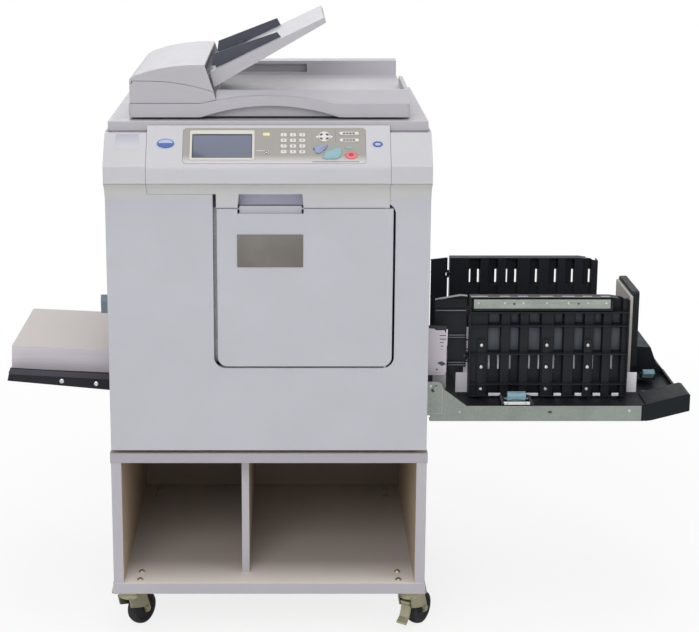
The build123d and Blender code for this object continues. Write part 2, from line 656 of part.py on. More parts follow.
PANEL_X = (-174, 200)
PANEL_T = (-42, 43)
KEY_GAP = 0.5
OVAL = (-209, 5.4, 33, 20)

with BuildPart() as console_housing:
    with BuildSketch(section(CONSOLE_X[0])):
        with BuildLine():
            Line((CONSOLE_BACK_Y, DOOR_Z[1]), (0, DOOR_Z[1]))
            Line((0, DOOR_Z[1]), (0, TUCK_Z))
            ThreePointArc((0, TUCK_Z), (-8, TUCK_Z + 20), (CONSOLE_Y, SEAM_Z))
            FilletPolyline(
                (CONSOLE_Y, SEAM_Z), (CONSOLE_Y, BULGE_Z), (CONSOLE_BACK_Y, CONSOLE_TOP_Z), radius=22,
            )
            Line((CONSOLE_BACK_Y, CONSOLE_TOP_Z), (CONSOLE_BACK_Y, DOOR_Z[1]))
        make_face()
    extrude(amount=CONSOLE_X[1] - CONSOLE_X[0])
    deck_block(PANEL_X, PANEL_T, (-8, 5), mode=Mode.SUBTRACT, corner=8)
    with BuildSketch(slope(-4)):
        with Locations(OVAL[:2]):
            Ellipse(OVAL[2] / 2 + KEY_GAP, OVAL[3] / 2 + KEY_GAP)
    extrude(amount=8, mode=Mode.SUBTRACT)
    block((CONSOLE_X[0] - 1, APRON_X), (-30, CONSOLE_BACK_Y + 1), (DOOR_Z[1] - 1, APRON_Z),
          mode=Mode.SUBTRACT)
    block((CONSOLE_X[0] - 1, CONSOLE_X[1] + 1), (CONSOLE_Y - 1, CONSOLE_Y + 1.5),
          (SEAM_Z, SEAM_Z + SEAM_GROOVE), mode=Mode.SUBTRACT)
    prism(
        elevation(-30),
        ((RECESS_X[0], DOOR_Z[1] - 1), (RECESS_X[1], DOOR_Z[1] - 1), (RECESS_X[1] - 3, RECESS_Z[1]),
         (RECESS_X[0] + 3, RECESS_Z[1])),
        -30 - RECESS_BACK, mode=Mode.SUBTRACT,
    )
    rod(plan(DOOR_Z[1] - 1), DOOR_PIVOT, PIN_RADIUS + 0.35, 13, mode=Mode.SUBTRACT)
finish(console_housing, "console_housing")

# Caps at both ends of the console, level with its deck but ending lower
CAP_CREST = (CONSOLE_BACK_Y - (CONSOLE_TOP_Z - CAP_TOP_Z) / SLOPE_RISE, CAP_TOP_Z)
with BuildPart() as console_side_caps:
    for ends in ((-SIDE_X, CONSOLE_X[0] - 0.6), (CONSOLE_X[1] + 0.6, SIDE_X)):
        with BuildSketch(section(ends[0])) as cap_section:
            with BuildLine():
                Line((CONSOLE_BACK_Y, SEAM_Z + 0.6), (CONSOLE_Y, SEAM_Z + 0.6))
                FilletPolyline(
                    (CONSOLE_Y, SEAM_Z + 0.6), (CONSOLE_Y, BULGE_Z), CAP_CREST,
                    (CONSOLE_BACK_Y, CAP_TOP_Z), radius=4,
                )
                Line((CONSOLE_BACK_Y, CAP_TOP_Z), (CONSOLE_BACK_Y, SEAM_Z + 0.6))
            make_face()
        extrude(amount=ends[1] - ends[0])
    deck_block((-309, -264), (2, 40), (-1.5, 4), mode=Mode.SUBTRACT, corner=3)
finish(console_side_caps, "console_side_caps")

# Keys. Each spot is across and up the slope from the middle of the deck
NUMBER_KEYS = [(column, row) for column in (32, 51, 70) for row in (26, 12.6, -0.9, -14.5)]
SMALL_KEYS = [(-3, -16, 11, 8), (165, -5, 14, 5)]
CURSOR = (115, 21.8, 12)
ADJUST_KEYS = [(166, 29.5, 40, 7), (166, 13.2, 40, 7)]
START_KEY = (131, -20, 34, 20)
STOP_KEY = (169.6, -23, 24, 17)
MASTER_KEY = (105, -7, 25, 12)
SCREEN_X = (-160, -27)
SCREEN_T = (-34, 37)

with BuildPart() as key_panel:
    deck_block((PANEL_X[0] + 0.4, PANEL_X[1] - 0.4), (PANEL_T[0] + 0.4, PANEL_T[1] - 0.4), (-8, 0.6),
               corner=7.6)
    deck_block((PANEL_X[0] + 4, PANEL_X[1] - 4), (PANEL_T[0] + 3, PANEL_T[1] - 3), (-8, -2.2),
               mode=Mode.SUBTRACT)
    with BuildSketch(slope(-3)):
        for spot in NUMBER_KEYS:
            with Locations(spot):
                RectangleRounded(13 + 2 * KEY_GAP, 8.5 + 2 * KEY_GAP, 3)
        for x, t, width, depth in SMALL_KEYS + ADJUST_KEYS:
            with Locations((x, t)):
                RectangleRounded(width + 2 * KEY_GAP, depth + 2 * KEY_GAP, 2.6)
        for x, t, width, depth in (START_KEY, STOP_KEY, MASTER_KEY):
            with Locations((x, t)):
                Ellipse(width / 2 + KEY_GAP, depth / 2 + KEY_GAP)
        with Locations(CURSOR[:2]):
            Circle(CURSOR[2] + KEY_GAP)
    extrude(amount=5, mode=Mode.SUBTRACT)
    deck_block(SCREEN_X, SCREEN_T, (-3, 2), mode=Mode.SUBTRACT, corner=3)
finish(key_panel, "key_panel")

# Each key runs in its own hole in the panel, over a pocket that leaves room for its travel
KEY_FOOT = -6
with BuildPart() as keypad:
    with BuildSketch(slope(KEY_FOOT)):
        for spot in NUMBER_KEYS:
            with Locations(spot):
                RectangleRounded(13, 8.5, 2.5)
    extrude(amount=1.5 - KEY_FOOT)
    deck_block((24, 78), (-20, 31), (KEY_FOOT, KEY_FOOT + 1.2), corner=2)
    fillet(keypad.faces().group_by(Axis(slope().origin, slope().z_dir))[-1].edges(), 0.6)
finish(keypad, "keypad")

with BuildPart() as function_keys:
    with BuildSketch(slope(KEY_FOOT)):
        for x, t, width, depth in SMALL_KEYS + ADJUST_KEYS:
            with Locations((x, t)):
                RectangleRounded(width, depth, 2.2)
        with Locations(CURSOR[:2]):
            Circle(CURSOR[2])
    extrude(amount=1.4 - KEY_FOOT)
finish(function_keys, "function_keys")

for name, (x, t, width, depth) in (
    ("start_key", START_KEY),
    ("stop_key", STOP_KEY),
    ("master_key", MASTER_KEY),
    ("standby_button", OVAL),
):
    foot = -2.8 if name == "standby_button" else KEY_FOOT
    with BuildPart() as oval_key:
        with BuildSketch(slope(foot)):
            with Locations((x, t)):
                Ellipse(width / 2, depth / 2)
        extrude(amount=1.8 - foot)
        fillet(oval_key.edges().group_by(Axis(slope().origin, slope().z_dir))[-1], 0.8)
    finish(oval_key, name)

# Touch screen: a bezel round a sunk glass
with BuildPart() as touch_screen:
    deck_block(
        (SCREEN_X[0] + 0.3, SCREEN_X[1] - 0.3), (SCREEN_T[0] + 0.3, SCREEN_T[1] - 0.3), (-8, 1.2),
        corner=2.7,
    )
    deck_block((SCREEN_X[0] + 5, SCREEN_X[1] - 5), (SCREEN_T[0] + 5, SCREEN_T[1] - 9), (0.2, 2),
               mode=Mode.SUBTRACT)
finish(touch_screen, "touch_screen")

# Front door: a shallow tray with rounded lower corners, on pins at its right edge
DOOR_TOP = DOOR_Z[1] - 1.5
with BuildPart() as front_door:
    with BuildSketch(elevation(-DOOR_LIFT)) as door_face:
        with Locations(((DOOR_X[0] + DOOR_X[1]) / 2, (DOOR_Z[0] + DOOR_TOP) / 2)):
            Rectangle(DOOR_X[1] - DOOR_X[0], DOOR_TOP - DOOR_Z[0])
        fillet(door_face.vertices().group_by(Axis.Y)[0], DOOR_RADIUS)
    extrude(amount=-DOOR_LIFT - DOOR_BACK)
    fillet(front_door.faces().sort_by(Axis.Y)[0].edges(), 2)
    with BuildSketch(elevation(1)) as door_back:
        with Locations(((DOOR_X[0] + DOOR_X[1]) / 2, (DOOR_Z[0] + DOOR_TOP) / 2)):
            Rectangle(DOOR_X[1] - DOOR_X[0] - 6, DOOR_TOP - DOOR_Z[0] - 6)
        fillet(door_back.vertices().group_by(Axis.Y)[0], DOOR_RADIUS - 3)
    extrude(amount=-20, mode=Mode.SUBTRACT)
    rod(plan(DOOR_Z[0] - 7), DOOR_PIVOT, PIN_RADIUS, 9)
    rod(plan(DOOR_TOP - 2), DOOR_PIVOT, PIN_RADIUS, 8)
    block(RECESS_X, (-DOOR_LIFT - 1, LIP_Y[0]), (RECESS_Z[0], DOOR_TOP + 1), mode=Mode.SUBTRACT)
    block(RECESS_X, (0, LIP_Y[1]), (RECESS_Z[0] - 4, RECESS_Z[0]))
    block((RECESS_X[0] + 4, RECESS_X[1] - 4), LIP_Y, (RECESS_Z[0] - 4, LIP_TOP))
    for rib_z in (700, 780, 860):
        block((DOOR_X[0] + 2, DOOR_X[1] - 2), (1, 7), (rib_z, rib_z + 3))
finish(front_door, "front_door")

# Platen cover: a slab with a bevelled front, an arched grip, a dish on top and a rear ridge
HUMP_X = (-140, 3, 139)
HUMP_Z = 1178
ARCH_X = (-142, 3, 150)
ARCH_Z = 1158
DISH_Z = 1168
BEVEL = ((LID_Y[0], RIM_Z - 2), (LID_Y[0] + 4, RIM_Z), (98, 1186), (108, 1186), (116, DISH_Z),
         (300, DISH_Z), (300, RIM_Z - 2))
with BuildPart() as platen_cover:
    block(LID_X, LID_Y, (LID_Z, RIM_Z), corner=8)
    prism(section(FEEDER_X + 178), BEVEL, LID_X[1] - FEEDER_X - 179)
    prism(
        section(FEEDER_X + 178),
        ((290, RIM_Z - 2), (290, DISH_Z), (498, DISH_Z), (503, 1200), (536, 1202), (LID_Y[1], 1198),
         (LID_Y[1], RIM_Z - 2)),
        LID_X[1] - FEEDER_X - 180,
    )
    prism(
        section(LID_X[1] - 9),
        ((100, RIM_Z), (100, 1186), (300, 1190), (308, DISH_Z - 1), (308, RIM_Z)),
        8,
    )
    block((-100, 84), (490, 511), (1174, 1193), mode=Mode.SUBTRACT)
    with BuildSketch(elevation(LID_Y[0])):
        with BuildLine():
            Line((HUMP_X[0], RIM_Z - 4), (HUMP_X[2], RIM_Z - 4))
            Line((HUMP_X[2], RIM_Z - 4), (HUMP_X[2], RIM_Z))
            ThreePointArc((HUMP_X[2], RIM_Z), (HUMP_X[1], HUMP_Z), (HUMP_X[0], RIM_Z))
            Line((HUMP_X[0], RIM_Z), (HUMP_X[0], RIM_Z - 4))
        make_face()
    extrude(amount=-30)
    with BuildSketch(elevation(LID_Y[0] - 1)):
        with BuildLine():
            Line((ARCH_X[0], LID_Z - 1), (ARCH_X[2], LID_Z - 1))
            ThreePointArc((ARCH_X[2], LID_Z - 1), (ARCH_X[1], ARCH_Z), (ARCH_X[0], LID_Z - 1))
        make_face()
    extrude(amount=-17, mode=Mode.SUBTRACT)
    for x in HINGE_X:
        block((x - 12, x + 12), (LID_Y[1] - 2, HINGE_Y + 9), (HINGE_Z - 8, HINGE_Z + 9))
        rod(section(x - 13), (HINGE_Y, HINGE_Z), 4.35, 26, mode=Mode.SUBTRACT)
    for x in (LID_X[0] + 20, LID_X[1] - 20):
        for y in (LID_Y[0] + 30, LID_Y[1] - 30):
            rod(plan(SCANNER_Z[1] + 0.5), (x, y), 7, LID_Z - SCANNER_Z[1])
finish(platen_cover, "platen_cover")

with BuildPart() as platen_pad:
    block((GLASS_X[0] - 9, GLASS_X[1] + 9), (GLASS_Y[0] - 9, GLASS_Y[1] + 9), (SCANNER_Z[1] + 0.8, LID_Z),
          corner=4)
finish(platen_pad, "platen_pad")

# Document feeder: a trough with an exit mouth at its right, under a curved top cover
SHOULDER = ((-286, 1213), (-276, 1219))
CREST = ((-208, 1237), (-131, 1241.5))
MOUTH = ((-112.5, 1186), (-108.3, 1170))
PARTING = (-221, PARTING_Z - 1)
PARTING_DIP = (-170, 1201)
SEAM_GAP = 0.4


def parting_line(shift):
    """The seam between feeder housing and cover: level at the left, dipping at the right."""
    Line((FEEDER_X, PARTING_Z + shift), (PARTING[0], PARTING[1] + shift))
    ThreePointArc(
        (PARTING[0], PARTING[1] + shift), (PARTING_DIP[0], PARTING_DIP[1] + shift),
        (MOUTH[0][0], MOUTH[0][1] + shift),
    )


FEEDER_DEPTH = FEEDER_Y[1] - FEEDER_Y[0]
TRAY_PIVOT = (-119, 1222)
LUG_Y = (150, 352)
COVER_HINGE = (-284, 1207)
HINGE_BEAD = 2.6
ROLLER = (-185, 1213)
ROLLER_SHAFT = 3
with BuildPart() as feeder_housing:
    with BuildSketch(elevation(FEEDER_Y[0])):
        with BuildLine():
            parting_line(-SEAM_GAP)
            Polyline(
                (MOUTH[0][0], MOUTH[0][1] - SEAM_GAP), MOUTH[1], (MOUTH[1][0], RIM_Z + 0.6),
                (FEEDER_X, RIM_Z + 0.6), (FEEDER_X, PARTING_Z - SEAM_GAP),
            )
        make_face()
    extrude(amount=-FEEDER_DEPTH)
    prism(
        elevation(FEEDER_Y[0] - 1),
        ((HUMP_X[0], RIM_Z), (-124, 1166), (-107, 1169.7), (-107, RIM_Z)), -28, mode=Mode.SUBTRACT,
    )
    block((FEEDER_X + 8, -100), (FEEDER_Y[0] + 6, FEEDER_Y[1] - 6), (1173, 1216), mode=Mode.SUBTRACT)
    prism(
        elevation(FEEDER_Y[0] + 6),
        ((-124, 1213), (-124, 1216), (-152, 1204), (-215, 1189), (-215, 1186), (-152, 1201)),
        12 - FEEDER_DEPTH,
    )
    for y in LUG_Y:
        prism(
            elevation(y),
            ((-130, 1210.6), (-124, 1213), (-116, 1217), (-114, 1224), (-119, 1227), (-124, 1224),
             (-132, 1212)), -8,
        )
        rod(elevation(y - 1), TRAY_PIVOT, 2.6, -10, mode=Mode.SUBTRACT)
    for y in (170, 336):
        block((ROLLER[0] - 10, ROLLER[0] + 10), (y, y + 4), (1191, ROLLER[1] + 7))
    rod(elevation(169), ROLLER, ROLLER_SHAFT + 0.35, -172, mode=Mode.SUBTRACT)
    rod(elevation(FEEDER_Y[0] - 1), COVER_HINGE, HINGE_BEAD + 1.5, -2 - FEEDER_DEPTH, mode=Mode.SUBTRACT)
finish(feeder_housing, "feeder_housing")

with BuildPart() as feeder_cover:
    with BuildSketch(elevation(FEEDER_Y[0])):
        with BuildLine():
            parting_line(SEAM_GAP)
            Line((MOUTH[0][0], MOUTH[0][1] + SEAM_GAP), CREST[1])
            ThreePointArc(CREST[1], (-170, 1241), CREST[0])
            ThreePointArc(CREST[0], (-240, 1230.5), SHOULDER[1])
            Polyline(SHOULDER[1], SHOULDER[0], (FEEDER_X, PARTING_Z + SEAM_GAP))
        make_face()
    extrude(amount=-FEEDER_DEPTH)
    with BuildSketch(elevation(FEEDER_Y[0] + 3)):
        with BuildLine():
            Polyline((-283, 1180), (-283, 1211.5), (-274, 1216.5))
            ThreePointArc((-274, 1216.5), (-239, 1227), (-207, 1234))
            ThreePointArc((-207, 1234), (-170, 1238), (-128, 1238.5))
            Polyline((-128, 1238.5), (-90, 1238.5), (-90, 1180), (-283, 1180))
        make_face()
    extrude(amount=6 - FEEDER_DEPTH, mode=Mode.SUBTRACT)
    block((FEEDER_X, FEEDER_X + WALL), FEEDER_Y, (COVER_HINGE[1], PARTING_Z + 2))
    rod(elevation(FEEDER_Y[0]), COVER_HINGE, HINGE_BEAD, -FEEDER_DEPTH)
finish(feeder_cover, "feeder_cover")

# Pick-up roller: two rubber tyres on a shaft that runs in the feeder's cheeks
with BuildPart() as pickup_roller:
    rod(elevation(168), ROLLER, ROLLER_SHAFT, -174)
    for y in (200, 290):
        rod(elevation(y), ROLLER, 10, -24)
finish(pickup_roller, "pickup_roller")

# Document tray: a wedge that slopes up from the feeder, hinged at its low upper corner
SURFACE = (TRAY_PROFILE[3], TRAY_PROFILE[2])
RISE = (SURFACE[1][1] - SURFACE[0][1]) / (SURFACE[1][0] - SURFACE[0][0])


def surface_z(x):
    """Height of the document tray's top surface at x."""
    return SURFACE[0][1] + RISE * (x - SURFACE[0][0])


with BuildPart() as document_tray:
    prism(elevation(TRAY_Y[0]), TRAY_PROFILE, TRAY_Y[0] - TRAY_Y[1])
    fillet(document_tray.edges().filter_by(Axis.Y).group_by(Axis.X)[-1], 2)
    for y in LUG_Y:
        block((-125, -106), (y - 3, y + 11), (1196, 1232), mode=Mode.SUBTRACT)
        rod(elevation(y - 4), TRAY_PIVOT, 2.25, -16)
finish(document_tray, "document_tray")


def guide_outline(end_x, low_z, high_z):
    """A side guide's outline, standing just above the tray's surface."""
    foot = 0.5
    return (
        (-110, surface_z(-110) + foot), (end_x, surface_z(end_x) + foot), (end_x - 8, high_z),
        (-116, low_z), (-119, 1233), (-110, 1233),
    )


GUIDE_Y = {"front": 128, "rear": 399}
for place, outline, foot_y in (
    ("front", guide_outline(26, 1258, 1303), 131),
    ("rear", guide_outline(24, 1257, 1308), 391),
):
    with BuildPart() as document_guide:
        prism(elevation(GUIDE_Y[place]), outline, -3)
        prism(
            elevation(foot_y),
            ((-100, surface_z(-100) + 0.5), (-50, surface_z(-50) + 0.5), (-50, surface_z(-50) + 2.5),
             (-100, surface_z(-100) + 2.5)),
            -8,
        )
        prism(
            elevation(foot_y),
            ((-74, surface_z(-74) + 2), (-60, surface_z(-60) + 2), (-60, surface_z(-60) + 8),
             (-70, surface_z(-70) + 9)),
            -8,
        )
    finish(document_guide, f"document_guide_{place}")

# Feed tray with its side skirts, and the stack of paper on it
FEED_DROP = sin(radians(FEED_TILT)) / cos(radians(FEED_TILT))


def stack_z(x):
    """Height of the feed tray's bed at x."""
    return STACK_Z - FEED_DROP * (x - STACK_X[0])


with BuildPart() as feed_tray:
    prism(
        elevation(FEED_Y[0]),
        ((-567, stack_z(-567)), (STACK_X[1] - 2, stack_z(STACK_X[1] - 2)),
         (STACK_X[1] - 2, stack_z(STACK_X[1] - 2) - 4), (-568, stack_z(-568) - 4)),
        FEED_Y[0] - FEED_Y[1],
    )
    prism(
        elevation(FEED_Y[0]),
        ((FEED_END_X, 546), (-566.2, stack_z(-566.2)), (-562, stack_z(-562)), (-566, 546)),
        FEED_Y[0] - FEED_Y[1],
    )
    for y in (FEED_Y[0], FEED_Y[1] - 3):
        prism(
            elevation(y),
            ((FEED_END_X, 546), (-564, 575), (-345, 562.5), (-345, 524.5)), -3,
        )
    for screw in ((-452, 546), (-377, 540)):
        rod(elevation(FEED_Y[0]), screw, 5, 2.4)
finish(feed_tray, "feed_tray")

LEAN = STACK_HEIGHT * FEED_DROP
with BuildPart() as paper_stack:
    prism(
        elevation(STACK_Y[0]),
        ((STACK_X[0], STACK_Z + 0.1), (STACK_X[1] - 4, stack_z(STACK_X[1] - 4) + 0.1),
         (STACK_X[1] - 4 + LEAN, stack_z(STACK_X[1] - 4) + STACK_HEIGHT),
         (STACK_X[0] + LEAN, STACK_Z + STACK_HEIGHT)),
        STACK_Y[0] - STACK_Y[1],
    )
finish(paper_stack, "paper_stack")

# Feed pressure lever: a tapered grip on a shaft through the left side cover
with BuildPart() as feed_lever:
    rod(section(-SIDE_X - 6), (112, 722), 9, 14)
    prism(section(-SIDE_X - 26), ((106, 702), (118, 702), (121, 728), (116, 742), (108, 742), (103, 728)),
          20, corner=3)
finish(feed_lever, "feed_lever")

# Steel hinge brackets on the body's right side
TRAY_PIVOT_XZ = (357.5, 551)
BRACKET = 2.5
BRACKET_Z = (491, 566)
PIVOT_HEAD = 2.5
with BuildPart() as tray_brackets:
    for y, inward, head_y in (
        (RAIL_FRONT_Y - BRACKET, 20, RAIL_FRONT_Y - BRACKET - PIVOT_HEAD),
        (RAIL_REAR_Y + BRACKET, -20, RAIL_REAR_Y + BRACKET + 1),
    ):
        with BuildSketch(elevation(y)) as bracket_face:
            Polygon(
                (SIDE_X, BRACKET_Z[0]), (372, BRACKET_Z[0]), (372, BRACKET_Z[1]), (SIDE_X, BRACKET_Z[1]),
                align=None,
            )
            fillet(bracket_face.vertices().sort_by(Axis.X)[-2:].sort_by(Axis.Y)[-1:], 14)
        extrude(bracket_face.sketch, amount=-BRACKET)
        flange_y = sorted((y, y + inward))
        block((SIDE_X, SIDE_X + BRACKET), flange_y, BRACKET_Z)
        rod(elevation(head_y), TRAY_PIVOT_XZ, 6, -PIVOT_HEAD - 1)
finish(tray_brackets, "tray_brackets")

# Receiving tray frame: two folded side rails joined by cross members
RAIL_OUTLINE = ((345, RAIL_Z[0]), (799, RAIL_Z[0]), (799, RAIL_Z[1]), (424, RAIL_Z[1]), (376, 547),
                (366, 562), (346, 562))
with BuildPart() as tray_rail:
    for y, flange_y in ((RAIL_FRONT_Y, (52, 70)), (RAIL_REAR_Y, (486, 504))):
        prism(elevation(y), RAIL_OUTLINE, -2.5)
        block((345, 799), flange_y, (RAIL_Z[0], RAIL_Z[0] + 2.5))
    for x in (384, 560, 740):
        block((x, x + 30), (RAIL_FRONT_Y + 1, RAIL_REAR_Y + 1), (RAIL_Z[0] + 1, DECK_Z[0]))
        block((x + 2.5, x + 27.5), (RAIL_FRONT_Y + 5, RAIL_REAR_Y - 3), (RAIL_Z[0] - 1, DECK_Z[0] - 2.5),
              mode=Mode.SUBTRACT)
finish(tray_rail, "tray_rail")

# Deck: a flat bed with a ramp towards the body and grooves across it under the fences
with BuildPart() as receiving_deck:
    prism(
        elevation(DECK_Y[0]),
        ((DECK_X[1], DECK_Z[0]), (DECK_X[1], DECK_Z[1]), (RAMP_X, DECK_Z[1]),
         (354, 556), (350, 551), (RAMP_X - 5, DECK_Z[0])),
        DECK_Y[0] - DECK_Y[1],
    )
    with BuildSketch(plan(DECK_Z[1] - GROOVE)) as grooves:
        for x in GROOVE_X:
            for y in (132, 424):
                with Locations((x, y)):
                    SlotOverall(110, 20, rotation=90)
    extrude(grooves.sketch, amount=GROOVE + 1, mode=Mode.SUBTRACT)
finish(receiving_deck, "receiving_deck")

# End cap: a low front block, a sunk floor and a raised rear block with a sloping side
CAP_BASE = ((DECK_X[1] + 0.4, RAIL_Z[0]), (822, RAIL_Z[0] + 2), (CAP_END_X, 500))
with BuildPart() as deck_end_cap:
    prism(elevation(DECK_Y[0] - 4), (*CAP_BASE, (CAP_END_X, 504), (DECK_X[1] + 0.4, 504)), -448)
    prism(
        elevation(DECK_Y[0] - 4),
        ((799.4, RAIL_Z[0]), (822, RAIL_Z[0] + 2), (CAP_END_X, 500), (CAP_END_X, 536), (896, 538),
         (799.4, 512.5)), -3.6,
    )
    prism(
        elevation(DECK_Y[0] - 0.4),
        ((DECK_X[1] + 0.4, RAIL_Z[0]), (822, RAIL_Z[0] + 2), (CAP_END_X, 500), (CAP_END_X, 536),
         (896, 538), (DECK_X[1] + 0.4, 515)), -78,
    )
    prism(
        elevation(305), ((832, 500), (832, 569), (870, 567), (884, 530), (CAP_END_X, 512),
                         (CAP_END_X, 500)), -195,
    )
    block((CAP_END_X - 5, CAP_END_X), (130, 308), (500, 514))
finish(deck_end_cap, "deck_end_cap")


def fence_wave(span_x, near_y, far_y, far_spans):
    """The corrugated line of a fence seen from above: near panels joined to far panels."""
    slant = 2
    points = [(span_x[0] + 2, near_y)]
    for start_x, end_x in far_spans:
        points += [(start_x - slant, near_y), (start_x, far_y), (end_x, far_y), (end_x + slant, near_y)]
    points += [(span_x[1] - 2, near_y)]
    return points


def fence_panel(span_x, near_y, far_y, far_spans, rib_y, rib_z, top):
    """A corrugated wall with level ribs on its outer side."""
    with BuildSketch(plan(FENCE_Z[0])) as wave:
        with BuildLine() as centre_line:
            Polyline(*fence_wave(span_x, near_y, far_y, far_spans))
        trace(centre_line.edges(), line_width=RIB)
    extrude(wave.sketch, amount=top - FENCE_Z[0] - 1)
    for z in (*rib_z, top - RIB):
        block(span_x, rib_y, (z, z + RIB))
    for x in (span_x[0], span_x[1] - RIB):
        block((x, x + RIB), rib_y, (FENCE_Z[0], top))


def fence_slots(slot_x, y, z):
    """Narrow upright slots through the wall, near its folds."""
    for x in slot_x:
        block((x - SLOT / 2, x + SLOT / 2), y, z, mode=Mode.SUBTRACT)


def fence_top_corner(span_x, y, top, drop):
    """Trim the fence's top corner at its outer end to a slope."""
    start_x = span_x[1] - 42
    end_x = span_x[1] + 1
    prism(
        elevation(y), ((start_x, top), (end_x, top - drop), (end_x, top + 9), (start_x, top + 9)), -60,
        mode=Mode.SUBTRACT,
    )


# Front fence: panels, ribs, screw bosses, a steel strip's seat, wing lugs and a lever foot
FRONT_NEAR_Y = FRONT_FENCE_Y - 7
FRONT_FAR_Y = FRONT_FENCE_Y + 6
FRONT_RIB_Y = (FRONT_FENCE_Y - 18, FRONT_FENCE_Y + 7)
BOSS_X = (459, 600, 689)
BOSS_Z = (628, 580, 530)
WING_HINGE_X = 429
LEVER_PIVOT = (64, 524)
with BuildPart() as front_fence:
    fence_panel(
        FRONT_FENCE_X, FRONT_NEAR_Y, FRONT_FAR_Y, FRONT_FAR, FRONT_RIB_Y,
        (FENCE_Z[0], 541, 609, 672, 702), FENCE_Z[1],
    )
    for x in BOSS_X:
        block((x - 8, x + 8), (FRONT_NEAR_Y - 6, FRONT_NEAR_Y + 4), (FENCE_Z[0] + 2, 642))
        for z in BOSS_Z:
            rod(elevation(FRONT_NEAR_Y - 5.9), (x, z), 4, 2.4)
    block((441, 739), (FRONT_RIB_Y[0], FRONT_NEAR_Y + 1), (707.5, 729.5))
    fence_slots(FRONT_SLOTS, (FRONT_NEAR_Y - 2, FRONT_FAR_Y + 2), (570, 605))
    fence_top_corner(FRONT_FENCE_X, FRONT_RIB_Y[0] - 5, FENCE_Z[1], 7)
    for z in (600, 700):
        block((WING_HINGE_X - 4, FRONT_FENCE_X[0] + 1), (FRONT_FENCE_Y - 4, FRONT_FENCE_Y + 4), (z, z + 6))
        rod(plan(z - 1), (WING_HINGE_X, FRONT_FENCE_Y), 1.85, 8, mode=Mode.SUBTRACT)
    for x in (500, 556):
        block((x, x + 5), (LEVER_PIVOT[0] - 6, FRONT_RIB_Y[0] + 1), (FENCE_Z[0], FENCE_Z[0] + 5))
        block((x, x + 5), (LEVER_PIVOT[0] - 6, LEVER_PIVOT[0] + 6), (FENCE_Z[0], LEVER_PIVOT[1] + 6))
        rod(section(x - 1), LEVER_PIVOT, 2.35, 7, mode=Mode.SUBTRACT)
finish(front_fence, "front_fence")

# Rear fence: the same wall turned to face the front, with its ribs at the back
REAR_NEAR_Y = REAR_FENCE_Y + 7
REAR_FAR_Y = REAR_FENCE_Y - 6
with BuildPart() as rear_fence:
    fence_panel(
        REAR_FENCE_X, REAR_FAR_Y, REAR_NEAR_Y, REAR_FAR, (REAR_FENCE_Y - 7, REAR_FENCE_Y + 18),
        (FENCE_Z[0], 541, 609, 653), REAR_TOP,
    )
    fence_slots(REAR_SLOTS, (REAR_FAR_Y - 2, REAR_NEAR_Y + 2), (681, 713))
    for start_x, end_x in REAR_FAR:
        block((start_x - 1, end_x + 1), (REAR_FAR_Y + 3, REAR_NEAR_Y), (655, 678))
    fence_top_corner(REAR_FENCE_X, REAR_FENCE_Y - 12, REAR_TOP, 7)
    for z in (600, 700):
        block((REAR_FENCE_X[0] - 7, REAR_FENCE_X[0] + 1), (REAR_FENCE_Y - 4, REAR_FENCE_Y + 4), (z, z + 6))
        rod(plan(z - 1), (REAR_FENCE_X[0] - 3, REAR_FENCE_Y), 1.85, 8, mode=Mode.SUBTRACT)
finish(rear_fence, "rear_fence")


def wing(hinge_x, y, outline, rib_z, rib_y):
    """A fence's hinged end wing: a thin wall with level ribs and two pins at its edge."""
    prism(elevation(y - 1.5), outline, -3)
    left = min(point[0] for point in outline)
    for z, start_x in rib_z:
        block((max(left, start_x), hinge_x - 3), rib_y, (z, z + 2.5))
    for z in (600, 700):
        block((hinge_x - 6, hinge_x + 4), (y - 6, y + 6), (z - 1.2, z + 7.2), mode=Mode.SUBTRACT)
        rod(plan(z - 6), (hinge_x, y), 1.5, 18)
        block((hinge_x - 4, hinge_x + 1.5), (y - 1.5, y + 1.5), (z - 6, z - 1.2))
        block((hinge_x - 4, hinge_x + 1.5), (y - 1.5, y + 1.5), (z + 7.2, z + 12))


with BuildPart() as front_wing:
    wing(
        WING_HINGE_X, FRONT_FENCE_Y,
        ((358, 664), (358, 730), (423, 737), (427, 737), (427, 580), (388, 580), (388, 662)),
        ((580, 388), (645, 388), (704, 358), (728, 362)), (FRONT_FENCE_Y - 9, FRONT_FENCE_Y),
    )
finish(front_wing, "front_wing")

with BuildPart() as rear_wing:
    wing(
        REAR_FENCE_X[0] - 3, REAR_FENCE_Y,
        ((377, 572), (377, 738), (412, 742), (416, 742), (416, 572)),
        ((572, 377), (645, 377), (704, 377), (734, 377)), (REAR_FENCE_Y, REAR_FENCE_Y + 9),
    )
finish(rear_wing, "rear_wing")

